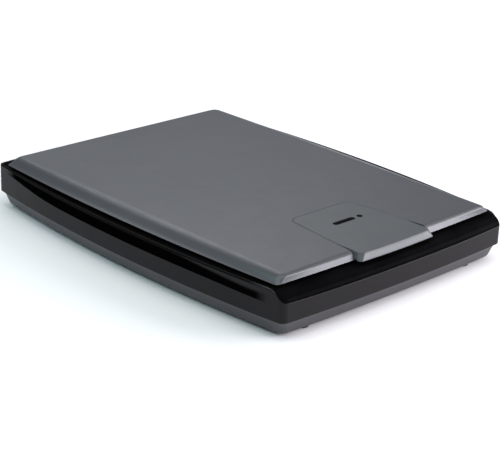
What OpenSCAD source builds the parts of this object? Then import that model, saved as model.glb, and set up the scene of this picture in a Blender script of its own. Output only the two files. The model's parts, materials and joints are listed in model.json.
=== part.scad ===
// Flatbed scanner with a lift-up lid, in millimetres.
// The origin is on the table under the middle of the body. +Y points to the rear hinge, +Z up.

/* [Body] */
// Half width of the casing at its corners
casing_hx = 129.25; // [128:0.25:131]
// Half length of the casing at its corners
casing_hy = 182; // [181.5:0.25:183]
// How far each long side bows out at its middle
side_bow = 10.75; // [9:0.25:12]
// How far each short side bows out at its middle
end_bow = 3.5; // [3:0.25:5]
// Plan radius of the casing's corners
casing_r = 6; // [5:0.5:8]
// Wall of the casing at its corners
casing_wall = 2.4; // [2:0.1:2.6]

/* [Levels] */
// Height of the feet under the tray
foot_h = 2; // [1.5:0.25:2.5]
// Top of the tray, where the casing starts
seam_z = 14.8; // [14.5:0.1:15.2]
// Top of the casing's front wall
front_z = 30.6; // [30:0.1:31]
// Top of the casing's side rails
rail_z = 39.7; // [39.5:0.1:40.2]
// Top of the black bezel
bezel_z = 39; // [38.8:0.1:39.4]
// Top of the glass
glass_z = 37.5; // [37.3:0.1:37.6]
// Lower edge of the lid
lid_edge_z = 41.6; // [41.4:0.1:42]
// Top of the lid
lid_top_z = 47.5; // [47.2:0.1:48]

/* [Scanning bed] */
// Width of the window for an A4 sheet
window_w = 220; // [217:1:220]
// Length of the window for an A4 sheet
window_l = 301; // [299:1:301]
// Middle of the window along the body
window_y = -12.5; // [-13:0.5:-12]
// Thickness of the glass
glass_t = 2.3; // [2:0.1:2.3]

/* [Lid] */
// Half width of the lid's flat top
lid_top_hx = 118; // [114:0.5:118.5]
// Half length of the lid's flat top
lid_top_hy = 169; // [168:0.1:169.4]
// Half width of the lid's lower edge at its front corners
lid_hx = 125; // [123:0.1:125.5]
// Half length of the lid's lower edge at its corners
lid_hy = 170.2; // [170:0.1:170.5]
// Half width of the grip tab at its front
tab_hx = 42.5; // [40:0.5:44]
// Half width of the grip tab at its rear
tab_rear_hx = 37.2; // [36:0.1:40]
// Rear edge of the grip tab
tab_rear_y = -91; // [-100:1:-85]
// Front edge of the grip tab
tab_front_y = -180; // [-181:0.5:-179]

/* [Drive] */
// Where the scan line rests, under the white strip
home_y = 145; // [144:0.5:145]
// Teeth on the drive gear
gear_teeth = 32; // [32:1:32]
// Teeth on the motor pinion
pinion_teeth = 16; // [16:1:16]
// Gear module
gear_module = 0.5; // [0.5:0.1:0.5]
// Radius of the belt's inner face on its pulleys
belt_r = 4.5; // [4.5:0.1:4.5]
// Radius of the guide rod
rod_r = 3; // [2.5:0.1:3]

/* [Hinges] */
// Distance of each hinge leg from the middle
hinge_x = 86; // [84:0.5:87]
// Lid pivot along the body
pivot_y = 168.5; // [168:0.1:168.6]
// Lid pivot height
pivot_z = 42.6; // [42.5:0.1:42.7]

/* [Hidden] */

eps = 0.1;
$fn = 48;

// Floor of the tray and the seams inside
tray_wall = 2;
floor_z = foot_h + tray_wall;
bezel_under_z = 35.8;
gasket_t = 0.3;
glass_under_z = glass_z - glass_t;
window_front_y = window_y - window_l / 2;
window_rear_y = window_y + window_l / 2;
glass_hx = 117;
glass_front_y = -170;
glass_rear_y = 153;

// Casing
rail_wall = 2.2;
inner_bow = 7.25;
step_rear_y = -167;
step_front_y = -185;
nose_depth = 13.5;
nose_wall = 2.2;
scoop_low_z = 28.8;
scoop_high_z = 37.4;
scoop_depth = 2.1;
scoop_path_r = 1885;
scoop_half_turn = 5.2;
post_x = 126;
post_y = 70;
usb_x = 50;
usb_y = 184.6;
usb_z = 16.6;
usb_size = [12, 16, 11];

// Hinges
leg_size = [12, 6];
leg_gap = 0.25;
knuckle_r = 2.6;
pin_r = 1;
pin_gap = 0.06;
ear_t = 3.2;
valley_z = 37.2;
valley_y = 160;

// Carriage
frame_hx = 110.8;
frame_hy = 10.5;
frame_z = 13.5;
rod_z = 10;
bush_r = 4.2;
belt_x = -117;
belt_w = 4;
belt_t = 1;
pulley_z = 14.5;
drive_y = 166.5;
idler_y = -172;
flange_r = 5.3;
flange_t = 0.6;
gear_x = -114;
gear_w = 2.6;
motor_dir = 85.2;
gear_reach = gear_module * (gear_teeth + pinion_teeth) / 2;
motor_y = drive_y + gear_reach * cos(motor_dir);
motor_z = pulley_z + gear_reach * sin(motor_dir);
motor_r = 8.5;
motor_len = 14;
plate_x = -110.9;
plate_t = 1.2;
board_z = 15;
board_t = 1.6;
ribbon_x = 48;
ribbon_w = 16;
ribbon_t = 0.3;
ribbon_fold_y = -8;

// Lid
lid_skin = 2;
lid_bow = 6;
lid_end_bow = 2.6;
lid_flare = 0.0256;
lid_low_r = 4;
lid_top_r = 8;
liner_z = 41;
liner_t = 1.6;
mat_t = 0.6;
mat_gap = 0.2;
tab_top_z = 47.8;
tab_t = 1.8;
tab_r = 9;
tab_front_r = 4.5;
tab_bow = 1;
tab_gap = 0.5;

// ---------------------------------------------------------------- helpers

// Rectangle with bowed sides and round corners, as a closed run of points.
// hx, hy reach the corners, bow_x and bow_y the extra bulge at the middle of each side.
function bowed(hx, hy, bow_x, bow_y, r, n = 12, m = 5) =
    let (
        side_a = atan(2 * bow_x / (hy - r)),
        end_a = 90 - atan(2 * bow_y / (hx - r)),
        side = [for (i = [0:n]) let (t = 2 * i / n - 1, a = atan(2 * bow_x * t / (hy - r)))
            [hx - r + bow_x * (1 - t * t) + r * cos(a), (hy - r) * t + r * sin(a)]],
        end = [for (i = [0:n]) let (t = 1 - 2 * i / n, a = atan(2 * bow_y * t / (hx - r)))
            [(hx - r) * t + r * sin(a), hy - r + bow_y * (1 - t * t) + r * cos(a)]],
        corner = [for (i = [1:m - 1]) let (a = side_a + (end_a - side_a) * i / m)
            [hx - r + r * cos(a), hy - r + r * sin(a)]],
        mirrored = [for (i = [m - 2:-1:0]) [-corner[i].x, corner[i].y]],
        half = concat(side, corner, end, mirrored)
    )
    concat(half, -half);

function moved(points, dy) = [for (p = points) [p.x, p.y + dy]];

// The casing's outline, inset by t
function casing_outline(t = 0) =
    bowed(casing_hx - t, casing_hy - t, side_bow, end_bow, casing_r - t);

// Smooth step from 0 to 1
function smooth(t) = t * t * (3 - 2 * t);

// Closed skin through matching outlines, one at each height
module loft(heights, outlines) {
    n = len(outlines[0]);
    top = len(heights) - 1;
    points = [for (k = [0:top]) for (p = outlines[k]) [p.x, p.y, heights[k]]];
    walls = [for (k = [0:top - 1]) for (i = [0:n - 1])
        let (j = (i + 1) % n, a = k * n, b = a + n)
        each [[a + i, b + i, b + j], [a + i, b + j, a + j]]];
    bottom_cap = [for (i = [0:n - 1]) i];
    top_cap = [for (i = [n - 1:-1:0]) top * n + i];
    polyhedron(points, concat(walls, [bottom_cap, top_cap]));
}

// A flat outline raised from z0 to z1
module slab(points, z0, z1) {
    translate([0, 0, z0]) linear_extrude(z1 - z0) polygon(points);
}

// A block from one corner to the other
module block(low, high) {
    translate(low) cube(high - low);
}

// A shape drawn in Y and Z, carried along X
module along_x(x0, x1) {
    translate([x0, 0, 0]) rotate([90, 0, 90]) linear_extrude(x1 - x0) children();
}

// A round bar along X
module bar_x(x0, x1, y, z, r) {
    translate([x0, y, z]) rotate([0, 90, 0]) cylinder(r = r, h = x1 - x0);
}

// A round bar along Y
module bar_y(y0, y1, x, z, r) {
    translate([x, y0, z]) rotate([-90, 0, 0]) cylinder(r = r, h = y1 - y0);
}

// A rectangle with round corners
module round_rect(low, high, r) {
    size = high - low;
    translate(low) {
        translate([r, 0]) square([size.x - 2 * r, size.y]);
        translate([0, r]) square([size.x, size.y - 2 * r]);
        for (x = [r, size.x - r]) for (y = [r, size.y - r]) translate([x, y]) circle(r);
    }
}

// Involute angle of a pressure angle, both in degrees
function inv(a) = tan(a) * 180 / PI - a;

// Spur gear outline with thinned teeth
function gear_points(teeth, m, play = 0.05) =
    let (
        pitch_r = m * teeth / 2,
        base_r = pitch_r * cos(20),
        root_r = pitch_r - 1.25 * m,
        tip_r = pitch_r + 0.9 * m,
        half = 90 / teeth - play / 2 / pitch_r * 180 / PI,
        radii = [for (i = [0:4]) base_r + (tip_r - base_r) * i / 4],
        lean = [for (r = radii) half + inv(20) - inv(acos(base_r / r))]
    )
    [for (k = [0:teeth - 1]) let (c = 360 * k / teeth) each concat(
        [root_r * [cos(c - lean[0]), sin(c - lean[0])]],
        [for (i = [0:4]) radii[i] * [cos(c - lean[i]), sin(c - lean[i])]],
        [for (i = [4:-1:0]) radii[i] * [cos(c + lean[i]), sin(c + lean[i])]],
        [root_r * [cos(c + lean[0]), sin(c + lean[0])]]
    )];

// Round wire wound into a helix along +Z
module coil(r, wire_r, turns, length, per_turn = 10, sides = 6) {
    n = turns * per_turn;
    rings = [for (i = [0:n]) let (a = 360 * i / per_turn) for (s = [0:sides - 1])
        let (b = 360 * s / sides, d = r + wire_r * cos(b))
        [d * cos(a), d * sin(a), length * i / n + wire_r * sin(b)]];
    walls = [for (i = [0:n - 1]) for (s = [0:sides - 1])
        let (t = (s + 1) % sides, a = i * sides, b = a + sides)
        each [[a + s, b + s, b + t], [a + s, b + t, a + t]]];
    start_cap = [for (s = [0:sides - 1]) s];
    end_cap = [for (s = [sides - 1:-1:0]) n * sides + s];
    polyhedron(rings, concat(walls, [start_cap, end_cap]));
}

// ---------------------------------------------------------------- base shells

// Outline of the tray's outer face, from 0 at its underside to 1 at the seam
function tray_outline(t, inset = 0) =
    bowed(123.6 + 4 * t - inset, 176 + 4.2 * t - inset, 9.8 + 0.4 * t, 2.4 + 0.8 * t, 7 - t - inset / 2);

module bottom_tray() {
    boss_r = 4.2;
    color("slategray") difference() {
        union() {
            difference() {
                loft(
                    [foot_h, foot_h + 0.4, foot_h + 1.4, seam_z],
                    [tray_outline(0, 1.6), tray_outline(0, 0.6), tray_outline(0.02), tray_outline(1)]
                );
                loft([floor_z, seam_z + eps], [tray_outline(0.05, tray_wall), tray_outline(1, tray_wall)]);
            }
            intersection() {
                union() {
                    for (sx = [-1, 1]) for (sy = [-1, 1])
                        translate([sx * post_x, sy * post_y, foot_h]) cylinder(r = boss_r, h = seam_z - foot_h);
                    for (x = [usb_x - 34, usb_x + 12]) for (y = [163, 172.5])
                        translate([x, y, foot_h]) cylinder(r = 2.4, h = board_z - foot_h);
                    block([93, 158.5, foot_h], [99, 163.5, 9]);
                    for (y = [-120:40:120]) block([-104, y, foot_h], [-10, y + 1.2, floor_z + 1.2]);
                }
                loft([foot_h, seam_z], [tray_outline(0, 1.6), tray_outline(1, 1)]);
            }
            translate([belt_x, -134, floor_z - eps]) cylinder(r = 1.5, h = 4);
        }
        for (sx = [-1, 1]) for (sy = [-1, 1]) {
            translate([sx * post_x, sy * post_y, 0]) cylinder(r = 2.9, h = foot_h + 2.6);
            translate([sx * post_x, sy * post_y, 0]) cylinder(r = 1.5, h = seam_z + eps);
            translate([sx * 95, sy * 169.6, 0]) cylinder(r = 5.2, h = foot_h + 0.6);
        }
        for (x = [usb_x - 34, usb_x + 12]) for (y = [163, 172.5])
            translate([x, y, floor_z + 2]) cylinder(r = 1, h = board_z);
    }
}

// Side view of the casing's top edge: the rails fall in a soft step to the front wall
function step_points() = [for (i = [0:12]) let (t = i / 12)
    [step_front_y + (step_rear_y - step_front_y) * t, front_z + (rail_z - front_z) * smooth(t)]];

module below_step() {
    along_x(-150, 150) polygon(concat(
        [[-200, 0], [-200, front_z]], step_points(), [[200, rail_z], [200, 0]]
    ));
}

module above_step() {
    along_x(-150, 150) polygon(concat(
        [[-200, front_z]], step_points(), [[step_rear_y, 60], [-200, 60]]
    ));
}

// Cutter for the shallow scoop along a long side
module scoop() {
    half = (scoop_high_z - scoop_low_z) / 2;
    r = (half * half + scoop_depth * scoop_depth) / (2 * scoop_depth);
    x = casing_hx + side_bow - scoop_depth + r;
    translate([x - scoop_path_r, 0, scoop_low_z + half]) rotate([0, 0, -scoop_half_turn])
        rotate_extrude(angle = 2 * scoop_half_turn, $fn = 1440) translate([scoop_path_r, 0]) circle(r, $fn = 48);
}

module side_casing() {
    inner = bowed(
        casing_hx - casing_wall, casing_hy - casing_wall, inner_bow, end_bow, casing_r - casing_wall
    );
    rebate = casing_outline(rail_wall);
    color("dimgray") difference() {
        union() {
            difference() {
                intersection() {
                    slab(casing_outline(), seam_z, rail_z);
                    below_step();
                }
                slab(inner, seam_z - eps, rail_z + eps);
                slab(rebate, bezel_under_z, rail_z + eps);
            }
            for (sx = [-1, 1]) for (sy = [-1, 1]) {
                translate([sx * post_x, sy * post_y, seam_z]) cylinder(r = 3.2, h = bezel_under_z - seam_z);
                block([sx * 130 - 4.2, sy * post_y - 1, seam_z], [sx * 130 + 4.2, sy * post_y + 1, 30]);
            }
        }
        scoop();
        mirror([1, 0, 0]) scoop();
        for (sx = [-1, 1]) for (sy = [-1, 1])
            translate([sx * post_x, sy * post_y, seam_z - eps]) cylinder(r = 1.2, h = 10);
        block([usb_x - 6.3, 170, usb_z - 0.3], [usb_x + 6.3, 190, usb_z + usb_size.z + 0.3]);
    }
}

// The black front nose, one skin of it: a quarter ellipse that follows the casing's plan
module nose_skin(inset, rise, depth) {
    steps = 6;
    loft(
        [for (i = [0:steps]) front_z - eps + (rise + eps) * sin(90 * i / steps)],
        [for (i = [0:steps]) moved(casing_outline(inset), depth * (1 - cos(90 * i / steps)))]
    );
}

module platen_bezel() {
    color("black") difference() {
        union() {
            intersection() {
                slab(casing_outline(rail_wall + 0.05), bezel_under_z, bezel_z);
                block([-150, -169, 0], [150, 200, 60]);
            }
            difference() {
                intersection() {
                    nose_skin(0, bezel_z - front_z, nose_depth);
                    above_step();
                    block([-150, -200, 0], [150, -168.95, 60]);
                }
                difference() {
                    nose_skin(nose_wall, bezel_under_z - front_z - 0.6, nose_depth - nose_wall);
                    block([-150, -172, 0], [150, -160, 60]);
                }
            }
        }
        block([-window_w / 2, window_front_y, 0], [window_w / 2, window_rear_y, 60]);
        block(
            [-glass_hx, glass_front_y, 0], [glass_hx, glass_rear_y, glass_z + gasket_t]
        );
        block([-120, valley_y, valley_z], [120, 177, 60]);
        for (sx = [-1, 1])
            translate([sx * hinge_x, pivot_y, 0])
                cube([leg_size.x + 2 * leg_gap, leg_size.y + 2 * leg_gap, 100], center = true);
    }
}

module platen_glass() {
    color("lightcyan", 0.35)
        block([-glass_hx, glass_front_y, glass_under_z], [glass_hx, glass_rear_y, glass_z]);
}

module glass_gasket() {
    color("black") difference() {
        block([-glass_hx, glass_front_y, glass_z], [glass_hx, glass_rear_y, glass_z + gasket_t]);
        block(
            [-window_w / 2 - 1, window_front_y - 1, 0], [window_w / 2 + 1, glass_rear_y - 1.5, 60]
        );
    }
}

module reference_strip() {
    color("white") block([-108, home_y - 4.5, glass_z], [108, home_y + 4.5, glass_z + gasket_t]);
}

module rubber_feet() {
    color("darkslategray") for (sx = [-1, 1]) for (sy = [-1, 1])
        translate([sx * 95, sy * 169.6, 0]) {
            cylinder(r1 = 4.6, r2 = 5.2, h = 0.6);
            translate([0, 0, 0.6]) cylinder(r = 5.2, h = foot_h);
        }
}

module case_screws() {
    color("silver") for (sx = [-1, 1]) for (sy = [-1, 1])
        translate([sx * post_x, sy * post_y, foot_h + 0.8]) difference() {
            union() {
                cylinder(r = 2.6, h = 1.8);
                cylinder(r = 1.2, h = 21);
            }
            for (a = [0, 90]) rotate(a) cube([3, 0.6, 1.6], center = true);
        }
}

// ---------------------------------------------------------------- drive

module guide_rod() {
    color("silver") bar_y(-175.5, 172, 0, rod_z, rod_r);
}

// Seats that hold both ends of the rod to the tray
module rod_clips() {
    color("dimgray") for (y = [-175.2, 159]) difference() {
        union() {
            block([-5, y, floor_z], [5, y + 2.4, rod_z]);
            bar_y(y, y + 2.4, 0, rod_z, 5);
        }
        bar_y(y - eps, y + 2.4 + eps, 0, rod_z, rod_r);
        block([-2.4, y - eps, rod_z], [2.4, y + 2.4 + eps, rod_z + 6]);
    }
}

module slide_rail() {
    color("gainsboro") along_x(103, 107) polygon([
        [-172, floor_z], [158, floor_z], [158, 5.6], [156, 7.8], [-170, 7.8], [-172, 5.6]
    ]);
}

module hinge_sleeves() {
    wall = 2;
    color("dimgray") for (sx = [-1, 1]) translate([sx * hinge_x, pivot_y, 0]) difference() {
        translate([0, 0, (9 + bezel_under_z) / 2])
            cube([leg_size.x + 2 * wall, leg_size.y + 2 * wall, bezel_under_z - 9], center = true);
        translate([0, 0, 40 + 10.5])
            cube([leg_size.x + 2 * leg_gap, leg_size.y + 2 * leg_gap, 80], center = true);
    }
}

module motor_bracket() {
    color("lightsteelblue") difference() {
        union() {
            along_x(plate_x, plate_x + plate_t) polygon([
                [159, floor_z], [172, floor_z], [177, 12], [177, 35], [159, 35]
            ]);
            block([plate_x, 159, floor_z], [-98, 171, floor_z + plate_t]);
        }
        bar_x(plate_x - 1, plate_x + 3, motor_y, motor_z, 2.5);
        bar_x(plate_x - 1, plate_x + 3, drive_y, pulley_z, pin_r);
        translate([-103, 165, 0]) cylinder(r = 1.6, h = 10);
    }
}

module stepper_motor() {
    start = plate_x + plate_t;
    color("silver") difference() {
        union() {
            bar_x(start, start + motor_len, motor_y, motor_z, motor_r);
            bar_x(start - plate_t, start, motor_y, motor_z, 2.5);
        }
        bar_x(start - plate_t - eps, start + 3, motor_y, motor_z, 1 + pin_gap);
    }
    color("white") block(
        [start + 2, motor_y + 6.5, motor_z - 14], [start + 12, motor_y + 8.5, motor_z - 5.75]
    );
}

module gear_shaft() {
    color("silver") bar_x(belt_x - 4.5, plate_x + plate_t, drive_y, pulley_z, pin_r);
}

// Outline of a belt loop in Y and Z, grown by g
module belt_loop(g) {
    translate([idler_y, pulley_z]) circle(belt_r + g, $fn = 64);
    translate([drive_y, pulley_z]) circle(belt_r + g, $fn = 64);
    translate([idler_y, pulley_z - belt_r - g]) square([drive_y - idler_y, 2 * (belt_r + g)]);
}

module drive_belt() {
    color("black") along_x(belt_x - belt_w / 2, belt_x + belt_w / 2) difference() {
        belt_loop(belt_t);
        belt_loop(0);
    }
}

module pulley(y) {
    rim = belt_r - 0.2;
    half = belt_w / 2 + 0.2;
    notches = 16;
    bar_x(belt_x - half, belt_x + half, y, pulley_z, rim - 0.4);
    along_x(belt_x - half, belt_x + half) translate([y, pulley_z])
        for (i = [0:notches - 1]) rotate(360 * i / notches) translate([rim - 1.1, -0.5]) square([1, 1]);
    bar_x(belt_x - half - flange_t, belt_x - half, y, pulley_z, flange_r);
    bar_x(belt_x + half, belt_x + half + flange_t, y, pulley_z, flange_r);
}

module idler_pulley() {
    color("ivory") difference() {
        pulley(idler_y);
        bar_x(belt_x - 10, belt_x + 10, idler_y, pulley_z, pin_r + pin_gap);
    }
}

module idler_shaft() {
    color("silver") bar_x(belt_x - 4.2, belt_x + 4.2, idler_y, pulley_z, pin_r);
}

module idler_bracket() {
    ear = [
        [-162, 4.3], [-168, 4.3], [-173.6, 9], [-175, 13.5], [-175, 16], [-173.2, 17.6],
        [-170, 17.6], [-168.8, 15.5], [-162, 7]
    ];
    inside = belt_w / 2 + 1.1;
    color("lightsteelblue") difference() {
        union() {
            for (x = [belt_x - inside - 1.1, belt_x + inside]) along_x(x, x + 1.1) polygon(ear);
            block([belt_x - inside, -168, 4.3], [belt_x + inside, -153, 5.3]);
            block([belt_x - 2, -153.8, 4.3], [belt_x + 2, -153, 7.5]);
        }
        bar_x(belt_x - 10, belt_x + 10, idler_y, pulley_z, pin_r);
    }
}

// Pulls the idler bracket towards the front, so the belt stays tight
module tension_spring() {
    color("silver") translate([belt_x, -152.6, 6.6]) rotate([-90, 0, 0]) coil(1.2, 0.25, 12, 16.6);
}

module drive_gear() {
    color("ivory") difference() {
        union() {
            pulley(drive_y);
            along_x(gear_x, gear_x + gear_w) translate([drive_y, pulley_z]) rotate(motor_dir)
                polygon(gear_points(gear_teeth, gear_module));
        }
        bar_x(belt_x - 10, plate_x + 5, drive_y, pulley_z, pin_r + pin_gap);
    }
}

module motor_pinion() {
    half_tooth = 180 / pinion_teeth;
    color("gold") difference() {
        along_x(gear_x - 0.2, gear_x + gear_w) translate([motor_y, motor_z])
            rotate(motor_dir + 180 + half_tooth) polygon(gear_points(pinion_teeth, gear_module));
        bar_x(gear_x - 5, gear_x + 5, motor_y, motor_z, 1);
    }
}

module motor_shaft() {
    color("silver") bar_x(gear_x - 0.6, plate_x + plate_t + 2.8, motor_y, motor_z, 1);
}

// ---------------------------------------------------------------- electronics

module main_board() {
    color("seagreen") difference() {
        block([usb_x - 38, 160, board_z], [usb_x + 16, 180, board_z + board_t]);
        for (x = [usb_x - 34, usb_x + 12]) for (y = [163, 172.5])
            translate([x, y, 0]) cylinder(r = 1.2, h = 60);
    }
}

module board_parts() {
    top = board_z + board_t;
    color("black") {
        block([usb_x - 26, 165, top], [usb_x - 14, 177, top + 1.4]);
        block([usb_x - 11, 162, top], [usb_x - 6, 168, top + 1]);
        translate([usb_x - 32, 177, top]) cylinder(r = 2, h = 5);
    }
    color("silver") block([usb_x + 9, 175.5, top], [usb_x + 14, 179, top + 3]);
    color("ivory") {
        block([usb_x - 10, 172, top], [usb_x - 8, 178, top + 2]);
        block([ribbon_x - 8.6, 161, board_z - 2.4], [ribbon_x + 8.6, 165, board_z]);
    }
}

module board_screws() {
    color("silver") for (x = [usb_x - 34, usb_x + 12]) for (y = [163, 172.5])
        translate([x, y, board_z - 5]) {
            cylinder(r = 1, h = 5 + board_t);
            translate([0, 0, 5 + board_t]) difference() {
                cylinder(r = 1.9, h = 1.1);
                translate([0, 0, 1.1]) for (a = [0, 90]) rotate(a) cube([2.4, 0.5, 1], center = true);
            }
        }
}

module usb_socket() {
    back_y = usb_y - 10;
    low = [usb_x - usb_size.x / 2, usb_y - usb_size.y, usb_z];
    color("silver") difference() {
        block(low, low + usb_size);
        plug_room(back_y, usb_y + eps);
    }
    color("white") block([usb_x - 2.8, back_y - eps, usb_z + 4], [usb_x + 2.8, usb_y - 4.7, usb_z + 7]);
}

// Room for the plug: square below, with its two upper corners cut off
module plug_room(y0, y1) {
    translate([usb_x, y1, usb_z + 1.5]) rotate([90, 0, 0]) linear_extrude(y1 - y0) polygon([
        [-4.2, 0], [4.2, 0], [4.2, 6], [2.7, 8], [-2.7, 8], [-4.2, 6]
    ]);
}

module home_sensor() {
    color("black") difference() {
        block([93.5, 159, 9], [98.5, 163, 19]);
        block([95, 158, 12], [97, 164, 20]);
    }
}

// The ribbon's lower run, from the board down to the floor and forward to the fold
module ribbon_fixed() {
    x0 = ribbon_x - ribbon_w / 2;
    z = floor_z + 0.05;
    color("whitesmoke") along_x(x0, x0 + ribbon_w) polygon([
        [161, 13.4], [159.6, 13.4], [157, z + ribbon_t], [ribbon_fold_y, z + ribbon_t],
        [ribbon_fold_y, z], [157.2, z], [159.8, 13.1], [161, 13.1]
    ]);
}

// The ribbon's upper run, from the fold back to the carriage, which rolls as the carriage moves
module ribbon_moving() {
    x0 = ribbon_x - ribbon_w / 2;
    z = floor_z + 0.05 + ribbon_t;
    color("whitesmoke") along_x(x0, x0 + ribbon_w) polygon([
        [ribbon_fold_y, z], [128, z + 0.1], [139, frame_z - ribbon_t], [151, frame_z - ribbon_t],
        [151, frame_z], [138.8, frame_z], [127.8, z + 0.1 + ribbon_t], [ribbon_fold_y, z + ribbon_t]
    ]);
}

// ---------------------------------------------------------------- carriage

module carriage_frame() {
    wall = 1.2;
    low = [-frame_hx, home_y - frame_hy, frame_z];
    color("dimgray") difference() {
        union() {
            difference() {
                block(low, [frame_hx, home_y + frame_hy, 27]);
                block(
                    low + [wall, wall, 2], [frame_hx - wall, home_y + frame_hy - wall, 30]
                );
            }
            bar_y(home_y - frame_hy, home_y + frame_hy, 0, rod_z, bush_r + 1.2);
            block([-4, home_y - frame_hy, rod_z], [4, home_y + frame_hy, frame_z + 1]);
            for (x = [-90, 90]) translate([x, home_y, frame_z]) cylinder(r = 1.2, h = 4);
        }
        bar_y(home_y - 30, home_y + 30, 0, rod_z, bush_r);
    }
}

module rod_bush() {
    color("peru") difference() {
        bar_y(home_y - frame_hy, home_y + frame_hy, 0, rod_z, bush_r);
        bar_y(home_y - 30, home_y + 30, 0, rod_z, rod_r + pin_gap);
    }
}

module slider_shoe() {
    color("white") block([102.5, home_y - 6, 8], [107.5, home_y + 6, frame_z]);
}

module belt_clamp() {
    end = -frame_hx;
    half = 4.5;
    low_y = home_y - half;
    high_y = home_y + half;
    strand_z = pulley_z + belt_r;
    gap = 0.3;
    color("black") {
        block([belt_x + belt_w / 2 + 0.6, low_y, 15.5], [end, high_y, 23]);
        block([belt_x - belt_w / 2 - 0.4, low_y, 15.5], [end, high_y, strand_z - gap]);
        block([belt_x - belt_w / 2 - 0.4, low_y, strand_z + belt_t + gap], [end, high_y, 23]);
    }
}

module sensor_housing() {
    hx = 109.2;
    hy = 9;
    color("black") difference() {
        block([-hx, home_y - hy, 20], [hx, home_y + hy, 34]);
        block([-106.5, home_y - 6.5, 33], [106.5, home_y + 6.5, 40]);
        block([-105.5, home_y - 1.2, 24], [105.5, home_y + 1.2, 40]);
        block([-105.5, home_y + 2.2, 28], [105.5, home_y + 5.6, 40]);
    }
}

module sensor_board() {
    color("seagreen") block([-108.5, home_y - 8, 18.8], [108.5, home_y + 8, 20]);
}

module sensor_window() {
    color("lightcyan", 0.35) block([-106.5, home_y - 6.5, 33], [106.5, home_y + 6.5, 34]);
}

module rod_lens() {
    color("gray") block([-105.5, home_y - 1.1, 24.2], [105.5, home_y + 1.1, 32.2]);
}

module light_guide() {
    color("honeydew") along_x(-105.5, 105.5) translate([home_y + 3.9, 30.2]) circle(1.5, $fn = 24);
}

// Two springs that press the sensor up against the glass
module lift_springs() {
    color("silver") for (x = [-90, 90])
        translate([x, home_y, frame_z + 2.25]) coil(1.8, 0.22, 4, 2.8);
}

// Low-friction pads that ride on the underside of the glass
module glass_spacers() {
    color("white") for (x = [-109.1, 106.6])
        translate([x, home_y - 5, 34]) cube([2.5, 10, glass_under_z - 34 - 0.1]);
}

// ---------------------------------------------------------------- hinges and lid

module hinge_legs() {
    color("dimgray") for (sx = [-1, 1]) translate([sx * hinge_x, pivot_y, 0]) difference() {
        union() {
            translate([-leg_size.x / 2, -leg_size.y / 2, 12]) cube([leg_size.x, leg_size.y, 25]);
            translate([-leg_size.x / 2, -knuckle_r, 36]) cube([leg_size.x, 2 * knuckle_r, pivot_z - 36]);
            bar_x(-leg_size.x / 2, leg_size.x / 2, 0, pivot_z, knuckle_r);
        }
        bar_x(-20, 20, 0, pivot_z, pin_r);
    }
}

module hinge_pins() {
    half = leg_size.x / 2 + 0.3 + ear_t;
    color("silver") for (sx = [-1, 1])
        bar_x(sx * hinge_x - half, sx * hinge_x + half, pivot_y, pivot_z, pin_r);
}

// Lid outline: t is 0 at the lower edge and 1 at the flat top
function lid_outline(t, inset = 0) = [
    for (p = bowed(
        lid_hx + (lid_top_hx - lid_hx) * t - inset, lid_hy + (lid_top_hy - lid_hy) * t - inset,
        lid_bow * (1 - t), lid_end_bow * (1 - t), lid_low_r + (lid_top_r - lid_low_r) * t - inset / 2
    ))
    [p.x * (1 + lid_flare * (1 - t) * (1 + p.y / lid_hy) / 2), p.y]
];

// Points along an arc
function arc(cx, cy, r, a0, a1, n = 8) =
    [for (i = [0:n]) let (a = a0 + (a1 - a0) * i / n) [cx + r * cos(a), cy + r * sin(a)]];

// Right half of the tab's outline, grown by g: the front edge is bowed and the sides spread forwards
function tab_half(g) =
    let (
        turn = atan((tab_hx - tab_rear_hx) / (tab_rear_y - tab_front_y - tab_r - tab_front_r)),
        front = tab_hx - tab_front_r,
        edge = [for (i = [0:5]) let (t = i / 6) [front * t, tab_front_y - g + tab_bow * t * t]]
    )
    concat(
        edge,
        arc(front, tab_front_y + tab_bow + tab_front_r, tab_front_r + g, -88, turn),
        arc(tab_rear_hx - tab_r, tab_rear_y - tab_r, tab_r + g, turn, 90)
    );

// Plan shape of the tab, grown by g
module tab_plan(g) {
    right = tab_half(g);
    polygon(concat(right, [for (i = [len(right) - 1:-1:1]) [-right[i].x, right[i].y]]));
}

module lid_cover() {
    rise = lid_top_z - lid_edge_z;
    pan_z = tab_top_z - tab_t;
    color("gray") difference() {
        union() {
            difference() {
                loft(
                    [for (t = [0, 0.1, 0.9, 1]) lid_edge_z + rise * t],
                    [lid_outline(0, 0.3), lid_outline(0.04), lid_outline(0.86), lid_outline(1, 1)]
                );
                loft(
                    [lid_edge_z - eps, lid_top_z - lid_skin],
                    [lid_outline(0, lid_skin), lid_outline(0.8, lid_skin)]
                );
            }
            intersection() {
                translate([0, 0, pan_z - 1.8]) linear_extrude(3) tab_plan(2.5);
                loft([lid_edge_z, lid_top_z], [lid_outline(0, 0.5), lid_outline(1, 0.5)]);
            }
        }
        translate([0, 0, pan_z]) linear_extrude(10) tab_plan(tab_gap);
        for (sx = [-1, 1]) {
            block([sx * hinge_x - 10.5, pivot_y - 4.5, 30], [sx * hinge_x + 10.5, 180, lid_top_z - lid_skin]);
            for (x = [-8, 8]) translate([sx * hinge_x + x, 155, 40]) cylinder(r = 0.9, h = 6.6);
        }
    }
}

// Name panel and grip: a plate in the lid's pan with a lip over the front edge
module lid_tab() {
    lip_t = 2.2;
    lip_y = -173.4;
    color("darkgray") {
        translate([0, 0, tab_top_z - tab_t]) linear_extrude(tab_t) tab_plan(0);
        translate([0, 0, lid_edge_z]) linear_extrude(tab_top_z - tab_t - lid_edge_z) difference() {
            intersection() {
                tab_plan(0);
                translate([-60, -200]) square([120, 200 + lip_y]);
            }
            intersection() {
                tab_plan(-lip_t);
                translate([-60, -200]) square([120, 230 + lip_y]);
            }
        }
    }
}

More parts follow.
